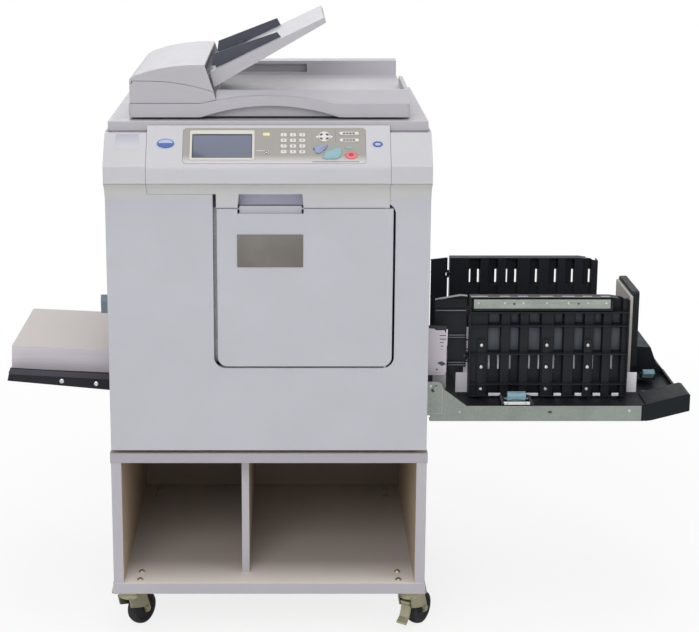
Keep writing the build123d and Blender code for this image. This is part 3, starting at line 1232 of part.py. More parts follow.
# End fence: a ribbed upright with a face plate, a foot and lugs for its lever
END_LEVER_PIVOT = (230, 523.5)
with BuildPart() as end_fence:
    prism(
        section(END_FENCE_X[0]),
        ((END_FENCE_Y[0] + 30, FENCE_Z[0]), (END_FENCE_Y[0] + 30, 540), (END_FENCE_Y[0], 546),
         (END_FENCE_Y[0], 714),
         (END_FENCE_Y[0] + 4, 718), (END_FENCE_Y[1] - 8, 718), (END_FENCE_Y[1], 708), (END_FENCE_Y[1], 546),
         (END_FENCE_Y[1] - 30, 540), (END_FENCE_Y[1] - 30, FENCE_Z[0])),
        END_FENCE_X[1] - END_FENCE_X[0],
    )
    for y in (END_FENCE_Y[0] + 4, END_FENCE_Y[0] + 38, END_FENCE_Y[0] + 72, END_FENCE_Y[0] + 106):
        block((END_FENCE_X[0] + 4, END_FENCE_X[1] + 1), (y, y + 30), (550, 706), mode=Mode.SUBTRACT)
    block((END_FENCE_X[0] - 6, END_FENCE_X[0]), (END_FENCE_Y[0] - 10, END_FENCE_Y[1] - 6),
          (FENCE_Z[0], 709))
    block((END_FENCE_X[0], 866), (222, 262), (FENCE_Z[0] + 0.6, FENCE_Z[0] + 3.5))
    for x in (832, 862):
        block((x, x + 4), (END_LEVER_PIVOT[0] - 6, END_LEVER_PIVOT[0] + 6),
              (FENCE_Z[0] + 1, END_LEVER_PIVOT[1] + 6))
        rod(section(x - 1), END_LEVER_PIVOT, 2.35, 6, mode=Mode.SUBTRACT)
finish(end_fence, "end_fence")


WAIST = 36


def lock_lever(x, pin_x, pivot, reach):
    """A waisted grip on a cross pin, lying forward over its pivot."""
    y, z = pivot
    rod(section(pin_x[0]), pivot, 2, pin_x[1] - pin_x[0])
    rod(section(x[0]), pivot, 5, x[1] - x[0])
    with BuildSketch(section(x[0])) as grip:
        Polygon(
            (y + 4, z - 2), (y + 5, z + 6), (y - 2, z + reach), (y - 11, z + reach - 1),
            (y - 13, z + reach - 8), (y - 5, z - 3), align=None,
        )
        fillet(grip.vertices(), 1.5)
    extrude(grip.sketch, amount=x[1] - x[0])
    middle = (x[0] + x[1]) / 2
    with BuildSketch(elevation(y - 20)) as waist:
        with Locations((middle, z + reach + WAIST - 2.5), (middle, z + 1.5 - WAIST)):
            Circle(WAIST)
    extrude(waist.sketch, amount=-17, mode=Mode.SUBTRACT)


with BuildPart() as front_fence_lever:
    lock_lever((511, 550), (500.5, 560.5), LEVER_PIVOT, 17)
finish(front_fence_lever, "front_fence_lever")

with BuildPart() as end_fence_lever:
    lock_lever((836.5, 861.5), (832.5, 865.5), END_LEVER_PIVOT, 15)
finish(end_fence_lever, "end_fence_lever")
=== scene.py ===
import json
from math import atan2, cos, pi, radians, sin

import bmesh
import bpy
from mathutils import Matrix, Vector


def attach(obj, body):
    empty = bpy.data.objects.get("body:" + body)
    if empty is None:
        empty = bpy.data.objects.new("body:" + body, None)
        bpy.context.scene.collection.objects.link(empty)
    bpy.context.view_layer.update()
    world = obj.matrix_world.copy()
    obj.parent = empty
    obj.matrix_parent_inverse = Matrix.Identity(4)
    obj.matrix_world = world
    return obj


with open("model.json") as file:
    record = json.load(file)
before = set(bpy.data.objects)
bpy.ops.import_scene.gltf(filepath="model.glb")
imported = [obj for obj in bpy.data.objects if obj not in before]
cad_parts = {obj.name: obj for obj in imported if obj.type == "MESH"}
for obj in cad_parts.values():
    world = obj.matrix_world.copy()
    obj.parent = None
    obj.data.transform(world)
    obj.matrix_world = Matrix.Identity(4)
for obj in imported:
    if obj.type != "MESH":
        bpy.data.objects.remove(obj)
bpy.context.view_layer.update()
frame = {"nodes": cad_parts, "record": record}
NODES = frame["nodes"]

# The machine's own coordinates: x from the body's mid-plane, y behind its front face and
# z above the floor, in millimetres. This is where they start in the shared frame.
BODY_X = -165.5
FACE_Y = -293.0
MM = 0.001


def place(x, y, z):
    """A point of the machine, in metres in the shared frame."""
    return Vector(((BODY_X + x) * MM, (FACE_Y + y) * MM, z * MM))


# ---------------------------------------------------------------- materials


def tone(red, green, blue):
    """A colour given as 0 to 255 screen values, as the linear colour a shader wants."""
    out = []
    for part in (red, green, blue):
        value = part / 255
        out.append(value / 12.92 if value <= 0.04045 else ((value + 0.055) / 1.055) ** 2.4)
    return (*out, 1.0)


class Graph:
    """A small helper that adds and links nodes in one material."""

    def __init__(self, name):
        self.material = bpy.data.materials.new(name)
        self.material.use_nodes = True
        self.nodes = self.material.node_tree.nodes
        self.links = self.material.node_tree.links
        self.nodes.clear()
        self.output = self.nodes.new("ShaderNodeOutputMaterial")
        self.shader = self.nodes.new("ShaderNodeBsdfPrincipled")
        self.links.new(self.shader.outputs["BSDF"], self.output.inputs["Surface"])
        self.place = self.nodes.new("ShaderNodeTexCoord").outputs["Object"]

    def stretched(self, scale):
        """Object coordinates scaled by a different amount on each axis."""
        mapping = self.nodes.new("ShaderNodeMapping")
        mapping.inputs["Scale"].default_value = scale
        self.links.new(self.place, mapping.inputs["Vector"])
        return mapping.outputs["Vector"]

    def noise(self, scale, detail=3.0, vector=None):
        node = self.nodes.new("ShaderNodeTexNoise")
        node.inputs["Scale"].default_value = scale
        node.inputs["Detail"].default_value = detail
        node.inputs["Roughness"].default_value = 0.55
        self.links.new(vector or self.place, node.inputs["Vector"])
        return node.outputs["Fac"]

    def ramp(self, value, low, high, start, end):
        """Map a value's span low..high onto start..end."""
        node = self.nodes.new("ShaderNodeMapRange")
        node.inputs["From Min"].default_value = low
        node.inputs["From Max"].default_value = high
        node.inputs["To Min"].default_value = start
        node.inputs["To Max"].default_value = end
        self.links.new(value, node.inputs["Value"])
        return node.outputs["Result"]

    def mix(self, factor, first, second):
        """Mix two colours, each a value or a socket."""
        node = self.nodes.new("ShaderNodeMix")
        node.data_type = "RGBA"
        # Its colour sockets share their names with others, so they are taken by number
        self.feed(factor, node.inputs["Factor"])
        self.feed(first, node.inputs[6])
        self.feed(second, node.inputs[7])
        return node.outputs[2]

    def feed(self, value, socket):
        if isinstance(value, (int, float, tuple)):
            socket.default_value = value
        else:
            self.links.new(value, socket)

    def math(self, operation, first, second=0.0):
        node = self.nodes.new("ShaderNodeMath")
        node.operation = operation
        self.feed(first, node.inputs[0])
        self.feed(second, node.inputs[1])
        return node.outputs[0]

    def soft_edge(self, radius):
        """Normals rounded over nearby edges."""
        node = self.nodes.new("ShaderNodeBevel")
        node.samples = 4
        node.inputs["Radius"].default_value = radius
        return node.outputs["Normal"]

    def edge_mask(self, rounded):
        """Near 1 along edges and 0 on flat faces."""
        flat = self.nodes.new("ShaderNodeNewGeometry").outputs["Normal"]
        node = self.nodes.new("ShaderNodeVectorMath")
        node.operation = "DOT_PRODUCT"
        self.links.new(rounded, node.inputs[0])
        self.links.new(flat, node.inputs[1])
        return self.ramp(node.outputs["Value"], 0.995, 0.8, 0.0, 1.0)

    def bump(self, height, strength, distance, normal=None):
        node = self.nodes.new("ShaderNodeBump")
        node.inputs["Strength"].default_value = strength
        node.inputs["Distance"].default_value = distance
        self.links.new(height, node.inputs["Height"])
        if normal is not None:
            self.links.new(normal, node.inputs["Normal"])
        return node.outputs["Normal"]

    def along(self, axis="Z"):
        """Position along an axis: height above the floor if none is given."""
        split = self.nodes.new("ShaderNodeSeparateXYZ")
        self.links.new(self.place, split.inputs["Vector"])
        return split.outputs[axis]

    def facing(self, axis="Z"):
        """How far a surface faces along an axis, from -1 to 1: up if none is given."""
        split = self.nodes.new("ShaderNodeSeparateXYZ")
        self.links.new(self.nodes.new("ShaderNodeNewGeometry").outputs["Normal"], split.inputs["Vector"])
        return split.outputs[axis]

    def set(self, **values):
        """Set shader sockets by name, with _ for each space."""
        for name, value in values.items():
            self.feed(value, self.shader.inputs[name.replace("_", " ")])


def moulded(
    name, colour, rough=0.5, grain=900.0, depth=0.00004, shade=0.05, edge=0.0008, shine=0.4, under=None,
):
    """Moulded or painted surface: fine grain, faint mottling, rounded edges and any painted shade underneath.
    """
    g = Graph(name)
    patchy = g.noise(7.0, 4.0)
    speck = g.noise(grain, 2.0)
    darker = tuple(part * (1 - shade) for part in colour[:3]) + (1.0,)
    lighter = tuple(min(1.0, part * (1 + shade)) for part in colour[:3]) + (1.0,)
    base = g.mix(g.ramp(patchy, 0.35, 0.65, 0.0, 1.0), darker, lighter)
    # Painted shade: surfaces that face down take the underside tint
    if under:
        base = g.mix(g.ramp(g.facing(), -0.1, -0.5, 0.0, 1.0), base, under)
    rounded = g.soft_edge(edge)
    mask = g.math("MULTIPLY", g.edge_mask(rounded), g.ramp(g.noise(60.0, 3.0), 0.4, 0.7, 0.05, 0.3))
    worn = tuple(min(1.0, part * 1.25 + 0.02) for part in colour[:3]) + (1.0,)
    g.set(Base_Color=g.mix(mask, base, worn))
    g.set(Roughness=g.ramp(g.noise(45.0, 3.0), 0.3, 0.7, rough - 0.05, rough + 0.06))
    g.set(Normal=g.bump(speck, 0.35, depth, rounded), Specular_IOR_Level=shine)
    return g.material


def sheet_metal(name, colour, rough, grain, spangle=0.0):
    """Plated or brushed steel: a drawn grain, smudges and optional zinc spangle."""
    g = Graph(name)
    streak = g.noise(1.0, 2.0, g.stretched(grain))
    smudge = g.noise(14.0, 4.0)
    darker = tuple(part * 0.82 for part in colour[:3]) + (1.0,)
    base = g.mix(g.ramp(smudge, 0.35, 0.7, 0.0, 1.0), colour, darker)
    if spangle:
        cell = g.nodes.new("ShaderNodeTexVoronoi")
        cell.inputs["Scale"].default_value = 260.0
        g.links.new(g.place, cell.inputs["Vector"])
        flake = g.nodes.new("ShaderNodeSeparateColor")
        g.links.new(cell.outputs["Color"], flake.inputs["Color"])
        base = g.mix(g.ramp(flake.outputs["Red"], 0.0, 1.0, 0.0, spangle), base, tone(225, 228, 222))
    g.set(Base_Color=base, Metallic=0.85)
    g.set(Roughness=g.ramp(streak, 0.3, 0.7, rough - 0.07, rough + 0.1))
    g.set(Normal=g.bump(streak, 0.2, 0.00003, g.soft_edge(0.0005)))
    return g.material


# The stand's outer sides, from its middle, and the front strip of its base that takes painted light, in
# metres
STAND_SIDE = (0.332, 0.336)
LIT_BASE_STRIP = (-0.3, -0.17)


def faced_board(name, face, core, warm=0.0, inner=None, near=None, outer=None):
    """Melamine-faced board with a faint printed grain.

    Its faces inside the stand take the inner tone, painted shade, which starts from the near tone,
    painted light, along the front strip, and its rear face takes the outer tone.
    """
    g = Graph(name)
    behind = g.ramp(g.facing("Y"), 0.5, 0.7, 0.0, 1.0)
    # Painted shade on the faces inside the stand, starting from painted light along the base's front strip
    if inner:
        if near:
            inner = g.mix(g.ramp(g.along("Y"), *LIT_BASE_STRIP, 0.0, 1.0), near, inner)
        across = g.math("ABSOLUTE", g.math("SUBTRACT", g.along("X"), BODY_X * MM))
        outside = g.math("MAXIMUM", g.ramp(across, *STAND_SIDE, 0.0, 1.0), behind)
        inside_shade_mask = g.math("SUBTRACT", g.ramp(g.facing("Y"), -0.7, -0.5, 0.0, 1.0), outside)
        inside_shade_mask = g.math("MAXIMUM", inside_shade_mask, 0.0)
        face, core = g.mix(inside_shade_mask, face, inner), g.mix(inside_shade_mask, core, inner)
    if outer:
        face, core = g.mix(behind, face, outer), g.mix(behind, core, outer)
    grain = g.noise(1.0, 5.0, g.stretched((4.0, 160.0, 5.0)))
    broad = g.noise(2.2, 3.0)
    tint = g.mix(g.ramp(grain, 0.3, 0.7, 0.0, 0.35), face, core)
    g.set(Base_Color=g.mix(g.ramp(broad, 0.35, 0.7, 0.0, 0.25 + warm), tint, core))
    g.set(Roughness=g.ramp(grain, 0.3, 0.7, 0.42, 0.55))
    g.set(Normal=g.bump(grain, 0.15, 0.00006, g.soft_edge(0.0008)), Specular_IOR_Level=0.35)
    return g.material


def sheets_of_paper(name, top, side):
    """A ream's look: plain on top, with fine uneven lines of sheet edges round the sides."""
    g = Graph(name)
    lines = g.noise(1.0, 2.0, g.stretched((3.0, 3.0, 2300.0)))
    bundles = g.noise(1.0, 1.0, g.stretched((1.0, 1.0, 140.0)))
    dark = tuple(part * 0.86 for part in side[:3]) + (1.0,)
    edges = g.mix(g.ramp(lines, 0.35, 0.65, 0.0, 1.0), dark, side)
    edges = g.mix(g.ramp(bundles, 0.4, 0.7, 0.0, 0.35), edges, dark)
    level = g.ramp(g.facing(), 0.6, 0.8, 0.0, 1.0)
    fibre = g.mix(g.ramp(g.noise(350.0, 3.0), 0.3, 0.7, 0.0, 0.12), top, dark)
    g.set(Base_Color=g.mix(level, edges, fibre), Roughness=0.85, Specular_IOR_Level=0.2)
    g.set(Normal=g.bump(lines, 0.5, 0.00015))
    return g.material


def rubbery(name, colour, rough=0.7):
    """Rubber: matt, slightly dusty on its worn faces."""
    g = Graph(name)
    dust = g.noise(55.0, 5.0)
    pale = tuple(part * 2.2 + 0.015 for part in colour[:3]) + (1.0,)
    g.set(Base_Color=g.mix(g.ramp(dust, 0.45, 0.75, 0.0, 0.6), colour, pale))
    g.set(Roughness=g.ramp(dust, 0.3, 0.7, rough - 0.08, rough + 0.12))
    g.set(Normal=g.bump(g.noise(700.0), 0.4, 0.00008, g.soft_edge(0.0006)), Specular_IOR_Level=0.3)
    return g.material


def see_through(name, colour):
    """Clear glass with a faint smear on it."""
    g = Graph(name)
    g.set(Base_Color=colour, Transmission_Weight=1.0, IOR=1.5)
    g.set(Roughness=g.ramp(g.noise(20.0, 4.0), 0.4, 0.7, 0.0, 0.06))
    return g.material


# Heights in metres over which the screen's painted glow turns bluer
SCREEN_GLOW_HEIGHTS = (1.062, 1.104)


def screen_with_painted_glow(name):
    """A liquid-crystal screen with a faint glow and soft uneven sheen painted in: bluer at its top."""
    g = Graph(name)
    up = g.ramp(g.along(), *SCREEN_GLOW_HEIGHTS, 0.0, 1.0)
    painted_sheen = g.ramp(g.noise(38.0, 3.0), 0.35, 0.7, 0.0, 0.5)
    glow = g.mix(up, tone(83, 86, 104), tone(80, 88, 122))
    g.set(Base_Color=g.mix(painted_sheen, glow, tone(78, 92, 110)), Roughness=0.14, Coat_Weight=0.3)
    g.set(Coat_Roughness=0.08)
    return g.material


def shade_painted_by_height(name, low, high, low_colour, high_colour, rough=0.45):
    """A smooth part with painted light and shade: its colour changes from a low height to a high one."""
    g = Graph(name)
    up = g.ramp(g.along(), low * MM, high * MM, 0.0, 1.0)
    g.set(Base_Color=g.mix(up, low_colour, high_colour), Roughness=rough, Specular_IOR_Level=0.35)
    g.set(Normal=g.bump(g.noise(1500.0, 2.0), 0.3, 0.00001, g.soft_edge(0.0004)))
    return g.material


def looks(maker, rows):
    """Make one material for each row: its name, then what its maker wants after the name."""
    return {name: maker(name, *values) for name, values in rows.items()}


# Tint of the painted shade on undersides, tints of the boards, and each finish's grain scale and depth in
# metres
UNDERSIDE_SHADE = tone(198, 198, 197)
EDGE_TONES = (tone(188, 185, 192), tone(174, 171, 178))
FINE = (1500.0, 0.00001)
CAST = (900.0, 0.00004)
SMOOTH_CAST = (900.0, 0.00003)
ROUGH_CAST = (800.0, 0.00006)

# One look for each slot of the record. A row gives what its maker takes after the name: a moulded
# row has colour, roughness, grain scale and depth, mottling, edge radius, gloss and the tint of
# painted shade on its undersides, as far as they differ from the usual ones.
LOOKS = {
    **looks(moulded, {
        "body_plastic": (tone(190, 190, 198), 0.48, 1100.0, 0.00003, 0.02, 0.0008, 0.4, UNDERSIDE_SHADE),
        "cover_paint": (tone(189, 189, 197), 0.42, 1500.0, 0.00002, 0.02, 0.0008, 0.4, UNDERSIDE_SHADE),
        "console_plastic": (tone(196, 195, 200), 0.42, 1200.0, 0.00003, 0.015, 0.0008, 0.4, UNDERSIDE_SHADE),
        "lid_plastic": (tone(182, 180, 186), 0.46, 1200.0, 0.00003, 0.02, 0.0012),
        "ink_cap": (tone(38, 40, 44), 0.25, 900.0, 0.00001, 0.05, 0.001, 0.5),
        "pad_white": (tone(238, 238, 234), 0.6, 500.0, 0.00006, 0.02),
        "key_grey": (tone(216, 214, 210), 0.4, *FINE, 0.02, 0.0005),
        "key_blue": (tone(70, 94, 164), 0.28, *FINE, 0.03, 0.0006),
        "key_teal": (tone(134, 173, 180), 0.3, *FINE, 0.03, 0.0006),
        "key_red": (tone(224, 112, 120), 0.3, *FINE, 0.03, 0.0006),
        "screen": (tone(210, 208, 198), 0.4, *FINE, 0.02, 0.0006),
        "slate_plastic": (tone(72, 76, 86), 0.5, 900.0, 0.00005, 0.05),
        "tray_black": (tone(27, 29, 34), 0.5, *ROUGH_CAST, 0.1, 0.0009, 0.25),
        "lever_blue": (tone(130, 163, 175), 0.4, *CAST, 0.04),
    }),
    **looks(sheet_metal, {
        "castor_zinc": (tone(168, 164, 138), 0.4, (40.0, 40.0, 90.0)),
        "inner_steel": (tone(172, 174, 176), 0.42, (8.0, 8.0, 300.0), 0.25),
        "drum_mesh": (tone(176, 178, 182), 0.36, (900.0, 900.0, 900.0)),
        "tray_steel": (tone(148, 155, 149), 0.4, (260.0, 8.0, 8.0), 0.06),
    }),
    # Painted shade: faces inside the stand are warmer and darker, the back board's all but its rear face
    **looks(faced_board, {
        "board": (*EDGE_TONES, 0.0, tone(184, 174, 162)),
        "back_board": (tone(158, 145, 132), tone(130, 117, 104), 0.3, None, None, tone(186, 183, 190)),
    }),
    **looks(rubbery, {
        "castor_rubber": (tone(34, 34, 37),),
        "roller_rubber": (tone(62, 63, 66), 0.6),
    }),
    # Painted light and shade: the grey panel is pale at its foot and darker higher up
    "panel_grey": shade_painted_by_height("panel_grey", 1054, 1067, tone(204, 201, 201), tone(157, 154, 149), 0.4),
    "clear_glass": see_through("clear_glass", tone(232, 242, 240)),
    "paper": sheets_of_paper("paper", tone(218, 212, 208), tone(216, 210, 218)),
}

# Looks of the pieces that the scene adds
EXTRA = {
    **looks(moulded, {
        # Dark print, also used as painted shade in holes, slots and along edges
        "ink": (tone(66, 70, 78), 0.5, *FINE, 0.02, 0.0002),
        "grey_print": (tone(128, 128, 132), 0.5, *FINE, 0.02, 0.0002),
        "pale_print": (tone(232, 233, 236), 0.5, *FINE, 0.02, 0.0002),
        "pale_blue": (tone(172, 185, 214), 0.25, *FINE, 0.02, 0.0004),
        "master_blue": (tone(142, 154, 184), 0.3, *FINE, 0.03, 0.0006),
        "stop_mark": (tone(180, 48, 66), 0.3, *FINE, 0.03, 0.0004),
        "lamp_cream": (tone(228, 222, 160), 0.3, *FINE, 0.03, 0.0004),
        "shadow": (tone(48, 46, 50), 0.7, 700.0, 0.00003, 0.1),
        "seal_grey": (tone(122, 122, 130), 0.6, *SMOOTH_CAST, 0.05),
        "slate_window": (tone(74, 80, 88), 0.5, *CAST, 0.08),
        "slate_dim": (tone(62, 64, 74), 0.5, *CAST, 0.08),
        "chip_grey": (tone(152, 148, 152), 0.5, *CAST, 0.05),
        "pale_liner": (tone(236, 232, 240), 0.5, *SMOOTH_CAST, 0.02),
        "holder_pink": (tone(198, 190, 200), 0.5, *CAST, 0.03),
        "end_beige": (tone(186, 182, 176), 0.5, *CAST, 0.04),
        "recess_back": (tone(224, 224, 246), 0.5, *SMOOTH_CAST, 0.02),
        "off_white": (tone(224, 222, 220), 0.5, *CAST, 0.03),
        "brown_floor": (tone(92, 84, 82), 0.6, 700.0, 0.00005, 0.08),
        "feed_band": (tone(62, 60, 70), 0.5, *CAST, 0.06),
    }),
    **looks(sheet_metal, {
        "plate_olive": (tone(123, 119, 114), 0.4, (9.0, 9.0, 900.0)),
        "screw": (tone(196, 198, 200), 0.3, (90.0, 90.0, 90.0)),
        "chrome": (tone(214, 216, 218), 0.16, (30.0, 30.0, 30.0)),
        "strip_steel": (tone(160, 167, 160), 0.4, (260.0, 8.0, 8.0), 0.06),
    }),
    "lcd": screen_with_painted_glow("lcd"),
    # Painted shade in the left cap's window recess, darker towards its top
    "cap_window": shade_painted_by_height("cap_window", 1084, 1104, tone(198, 198, 206), tone(176, 177, 190)),
}

# Subparts whose look differs a little from the rest of their slot
OWN_LOOKS = {
    # Painted shade inside the stand on the uprights and the base, and painted light along the base's front
    # strip
    "stand_uprights": faced_board("board_upright", *EDGE_TONES, 0.0, tone(184, 166, 144)),
    "stand_base_board": faced_board("board_base", *EDGE_TONES, 0.0, tone(186, 178, 174), tone(252, 244, 238)),
    # The top board is painted darker as shade under the body
    "stand_top_board": faced_board(
        "board_top", tone(174, 172, 178), tone(164, 161, 168), 0.0, tone(176, 164, 152),
    ),
    "deck_end_cap": moulded("end_cap_black", tone(18, 24, 28), 0.5, *ROUGH_CAST, 0.1, 0.0009, 0.2),
    "receiving_deck": moulded("deck_black", tone(20, 21, 26), 0.55, *ROUGH_CAST, 0.1, 0.0009, 0.2),
    "feed_tray": moulded("feed_black", tone(30, 29, 36), 0.5, *ROUGH_CAST, 0.1, 0.0009, 0.25),
    "feed_lever": moulded("lever_grey", tone(110, 128, 138), 0.45, *CAST, 0.04),
}
for entry in frame["record"]["subparts"]:
    node = NODES[entry["node"]]
    node.data.materials.clear()
    node.data.materials.append(OWN_LOOKS.get(entry["node"], LOOKS[entry["material_slot"]]))

# ---------------------------------------------------------------- geometry helpers

# The key deck rises 75 over 65, from its middle at these places in y and z
SLOPE = atan2(75, 65)
DECK_MIDDLE = (5.5, 1083.5)
FRONT = ((1, 0, 0), (0, 0, 1))
TOP = ((1, 0, 0), (0, 1, 0))
RIGHT = ((0, 1, 0), (0, 0, 1))
DECK = ((1, 0, 0), (0, cos(SLOPE), sin(SLOPE)))


def frame_at(axes, x=0.0, y=0.0, z=0.0):
    """A placing matrix: its first two columns are the axes, its third their normal."""
    across, up = Vector(axes[0]), Vector(axes[1])
    out = across.cross(up)
    matrix = Matrix((across, up, out)).transposed().to_4x4()
    matrix.translation = place(x, y, z)
    return matrix


def rounded(x0, x1, y0, y1, radius, steps=5):
    """The outline of a rectangle with round corners."""
    points = []
    for cx, cy, start in (
        (x1 - radius, y1 - radius, 0), (x0 + radius, y1 - radius, 90),
        (x0 + radius, y0 + radius, 180), (x1 - radius, y0 + radius, 270),
    ):
        for step in range(steps + 1):
            turn = radians(start + 90 * step / steps)
            points.append((cx + radius * cos(turn), cy + radius * sin(turn)))
    return points


def oval(cx, cy, rx, ry, count=40):
    """The outline of an ellipse."""
    return [
        (cx + rx * cos(2 * pi * step / count), cy + ry * sin(2 * pi * step / count))
        for step in range(count)
    ]


# Edges sharper than the first angle are bevelled, and those below the second are shaded smooth
BEVEL_OVER = 25
SMOOTH_UNDER = 32


def show(mesh, name, body, material):
    """Turn a finished mesh into a named piece that rides on a body."""
    mesh.materials.append(material)
    mesh.polygons.foreach_set("use_smooth", [True] * len(mesh.polygons))
    mesh.set_sharp_from_angle(angle=radians(SMOOTH_UNDER))
    piece = bpy.data.objects.new(name, mesh)
    bpy.context.scene.collection.objects.link(piece)
    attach(piece, body)


def soften(bm, edge):
    """Bevel every sharp edge by a width in millimetres."""
    limit = radians(BEVEL_OVER)
    sharp = [e for e in bm.edges if len(e.link_faces) == 2 and e.calc_face_angle(0) > limit]
    if edge and sharp:
        bmesh.ops.bevel(
            bm, geom=sharp, offset=edge * MM, segments=2, profile=0.6, affect="EDGES", clamp_overlap=True
        )


def add_extrusion(bm, matrix, outline, low, high, holes):
    """Add an outline pushed from low to high along the frame's normal to a mesh."""
    part = bmesh.new()
    loops = []
    for loop in (outline, *holes):
        ring = [part.verts.new((u * MM, v * MM, low * MM)) for u, v in loop]
        loops.append([part.edges.new((ring[i], ring[(i + 1) % len(ring)])) for i in range(len(ring))])
    bmesh.ops.triangle_fill(part, use_beauty=True, use_dissolve=True, edges=sum(loops, []))
    base = list(part.faces)
    moved = bmesh.ops.extrude_face_region(part, geom=base)
    tops = [item for item in moved["geom"] if isinstance(item, bmesh.types.BMVert)]
    bmesh.ops.translate(part, verts=tops, vec=(0, 0, (high - low) * MM))
    bmesh.ops.recalc_face_normals(part, faces=part.faces)
    bmesh.ops.transform(part, matrix=matrix, verts=part.verts)
    scratch = bpy.data.meshes.new("scratch")
    part.to_mesh(scratch)
    part.free()
    bm.from_mesh(scratch)
    bpy.data.meshes.remove(scratch)


def close(bm, name, body, material, edge):
    """Soften a mesh's edges and show it."""
    bmesh.ops.recalc_face_normals(bm, faces=bm.faces)
    soften(bm, edge)
    mesh = bpy.data.meshes.new(name)
    bm.to_mesh(mesh)
    bm.free()
    show(mesh, name, body, material)


def cut_plate(name, matrix, outlines, low, high, body, material, edge=0.3, holes=()):
    """One piece made of one or more outlines, each pushed from low to high."""
    bm = bmesh.new()
    for outline in outlines:
        add_extrusion(bm, matrix, outline, low, high, holes)
    close(bm, name, body, material, edge)


def add_turned(bm, matrix, profile, count):
    """Add a turned shape with so many sides to a mesh: profile is (radius, height), foot to crown."""
    rings = []
    for radius, height in profile:
        rings.append([
            bm.verts.new(matrix @ Vector((u * MM, v * MM, height * MM)))
            for u, v in oval(0, 0, radius, radius, count)
        ])
    for lower, upper in zip(rings, rings[1:]):
        for step in range(count):
            after = (step + 1) % count
            bm.faces.new((lower[step], lower[after], upper[after], upper[step]))
    bm.faces.new(rings[-1])
    bm.faces.new(list(reversed(rings[0])))


def screws(name, axes, spots, body, material, radius, rise):
    """Pan-head screws with a dimple, at machine points, facing along the axes' normal."""
    bm = bmesh.new()
    for x, y, z in spots:
        matrix = frame_at(axes, x, y, z)
        add_turned(bm, matrix, [
            (radius, -0.4), (radius, rise * 0.35), (radius * 0.82, rise * 0.8), (radius * 0.5, rise),
            (radius * 0.42, rise), (radius * 0.3, rise * 0.45),
        ], 16)
    close(bm, name, body, material, 0.0)


# ---------------------------------------------------------------- console

# The console's key deck: x across, y up the slope, z out of it, from its middle
deck = frame_at(DECK, 0.0, *DECK_MIDDLE)

# Heights over it: the number keys' tops, and where raised pieces start, just inside what they lie on
KEY_TOP = 1.5
IN_DECK = -0.2
IN_PANEL = 0.5
IN_SMALL_KEY = 1.3
IN_LARGE_KEY = 1.7


def deck_plate(name, outlines, low, high, body, material, edge=0.2, holes=()):
    """One or more outlines raised on the key deck."""
    cut_plate(name, deck, outlines, low, high, body, material, edge, holes)


deck_plate(
    "screen_glass", [rounded(-154.6, -32.4, -28.6, 27.6, 1.0)], 0.22, 0.55, "machine",
    EXTRA["lcd"], 0.1,
)
# Dark edges round the screen's glass: the bezel's painted shadow
deck_plate(
    "screen_edge_shadow", [rounded(-154.7, -32.3, -28.7, 27.7, 1.0)], IN_PANEL, 1.0, "machine", EXTRA["ink"],
    0.1, holes=[rounded(-152.6, -33.4, -28.2, 25.4, 0.6)],
)
deck_plate(
    "status_light", [rounded(-10.3, 3.6, 23.6, 30.8, 1.2)], IN_PANEL, 1.3, "machine",
    EXTRA["lamp_cream"],
)
KEY_LABELS = ("1", "4", "7", "*", "2", "5", "8", "0", "3", "6", "9", "#")
NUMBER_KEYS = [(column, row) for column in (32, 51, 70) for row in (26, 12.6, -0.9, -14.5)]


def label(name, text, x, t, height, size, body, material, slot):
    """A raised character on the key deck, turned into a mesh."""
    curve = bpy.data.curves.new(name, "FONT")
    curve.body = text
    curve.size = size * MM
    curve.extrude = 0.00006
    curve.align_x = "CENTER"
    curve.align_y = "CENTER"
    curve.resolution_u = 3
    holder = bpy.data.objects.new(name + "_text", curve)
    mesh = bpy.data.meshes.new_from_object(holder)
    bpy.data.objects.remove(holder)
    mesh.name = name
    mesh.transform(deck @ Matrix.Translation((x * MM, t * MM, height * MM)))
    mesh.materials.clear()
    show(mesh, name, body, material)


for index, (spot, text) in enumerate(zip(NUMBER_KEYS, KEY_LABELS)):
    label(f"key_digit_{index}", text, *spot, KEY_TOP + 0.05, 7.0, "keypad", EXTRA["ink"], "key_grey")


def ring_part(cx, cy, inner, outer, start, end, steps=7):
    """The outline of part of an oval ring, between two angles in degrees."""
    turns = [radians(start + (end - start) * step / steps) for step in range(steps + 1)]
    far = [(cx + outer[0] * cos(turn), cy + outer[1] * sin(turn)) for turn in turns]
    near = [(cx + inner[0] * cos(turn), cy + inner[1] * sin(turn)) for turn in reversed(turns)]
    return far + near


# Cursor pad: a dark ring in four parts, with white arrow heads left and right of it
deck_plate(
    "cursor_ring",
    [ring_part(115, 21.6, (6.2, 5.2), (11.2, 8.4), turn + 24, turn + 66) for turn in (0, 90, 180, 270)],
    IN_SMALL_KEY, 1.7, "function_keys", EXTRA["ink"], 0.0,
)
deck_plate(
    "cursor_arrows",
    [[(97.6, 21.4), (102.4, 18.2), (102.4, 24.6)], [(132.6, 21.4), (127.8, 24.6), (127.8, 18.2)]],
    IN_PANEL, 0.8, "machine", EXTRA["pale_print"], 0.0,
)

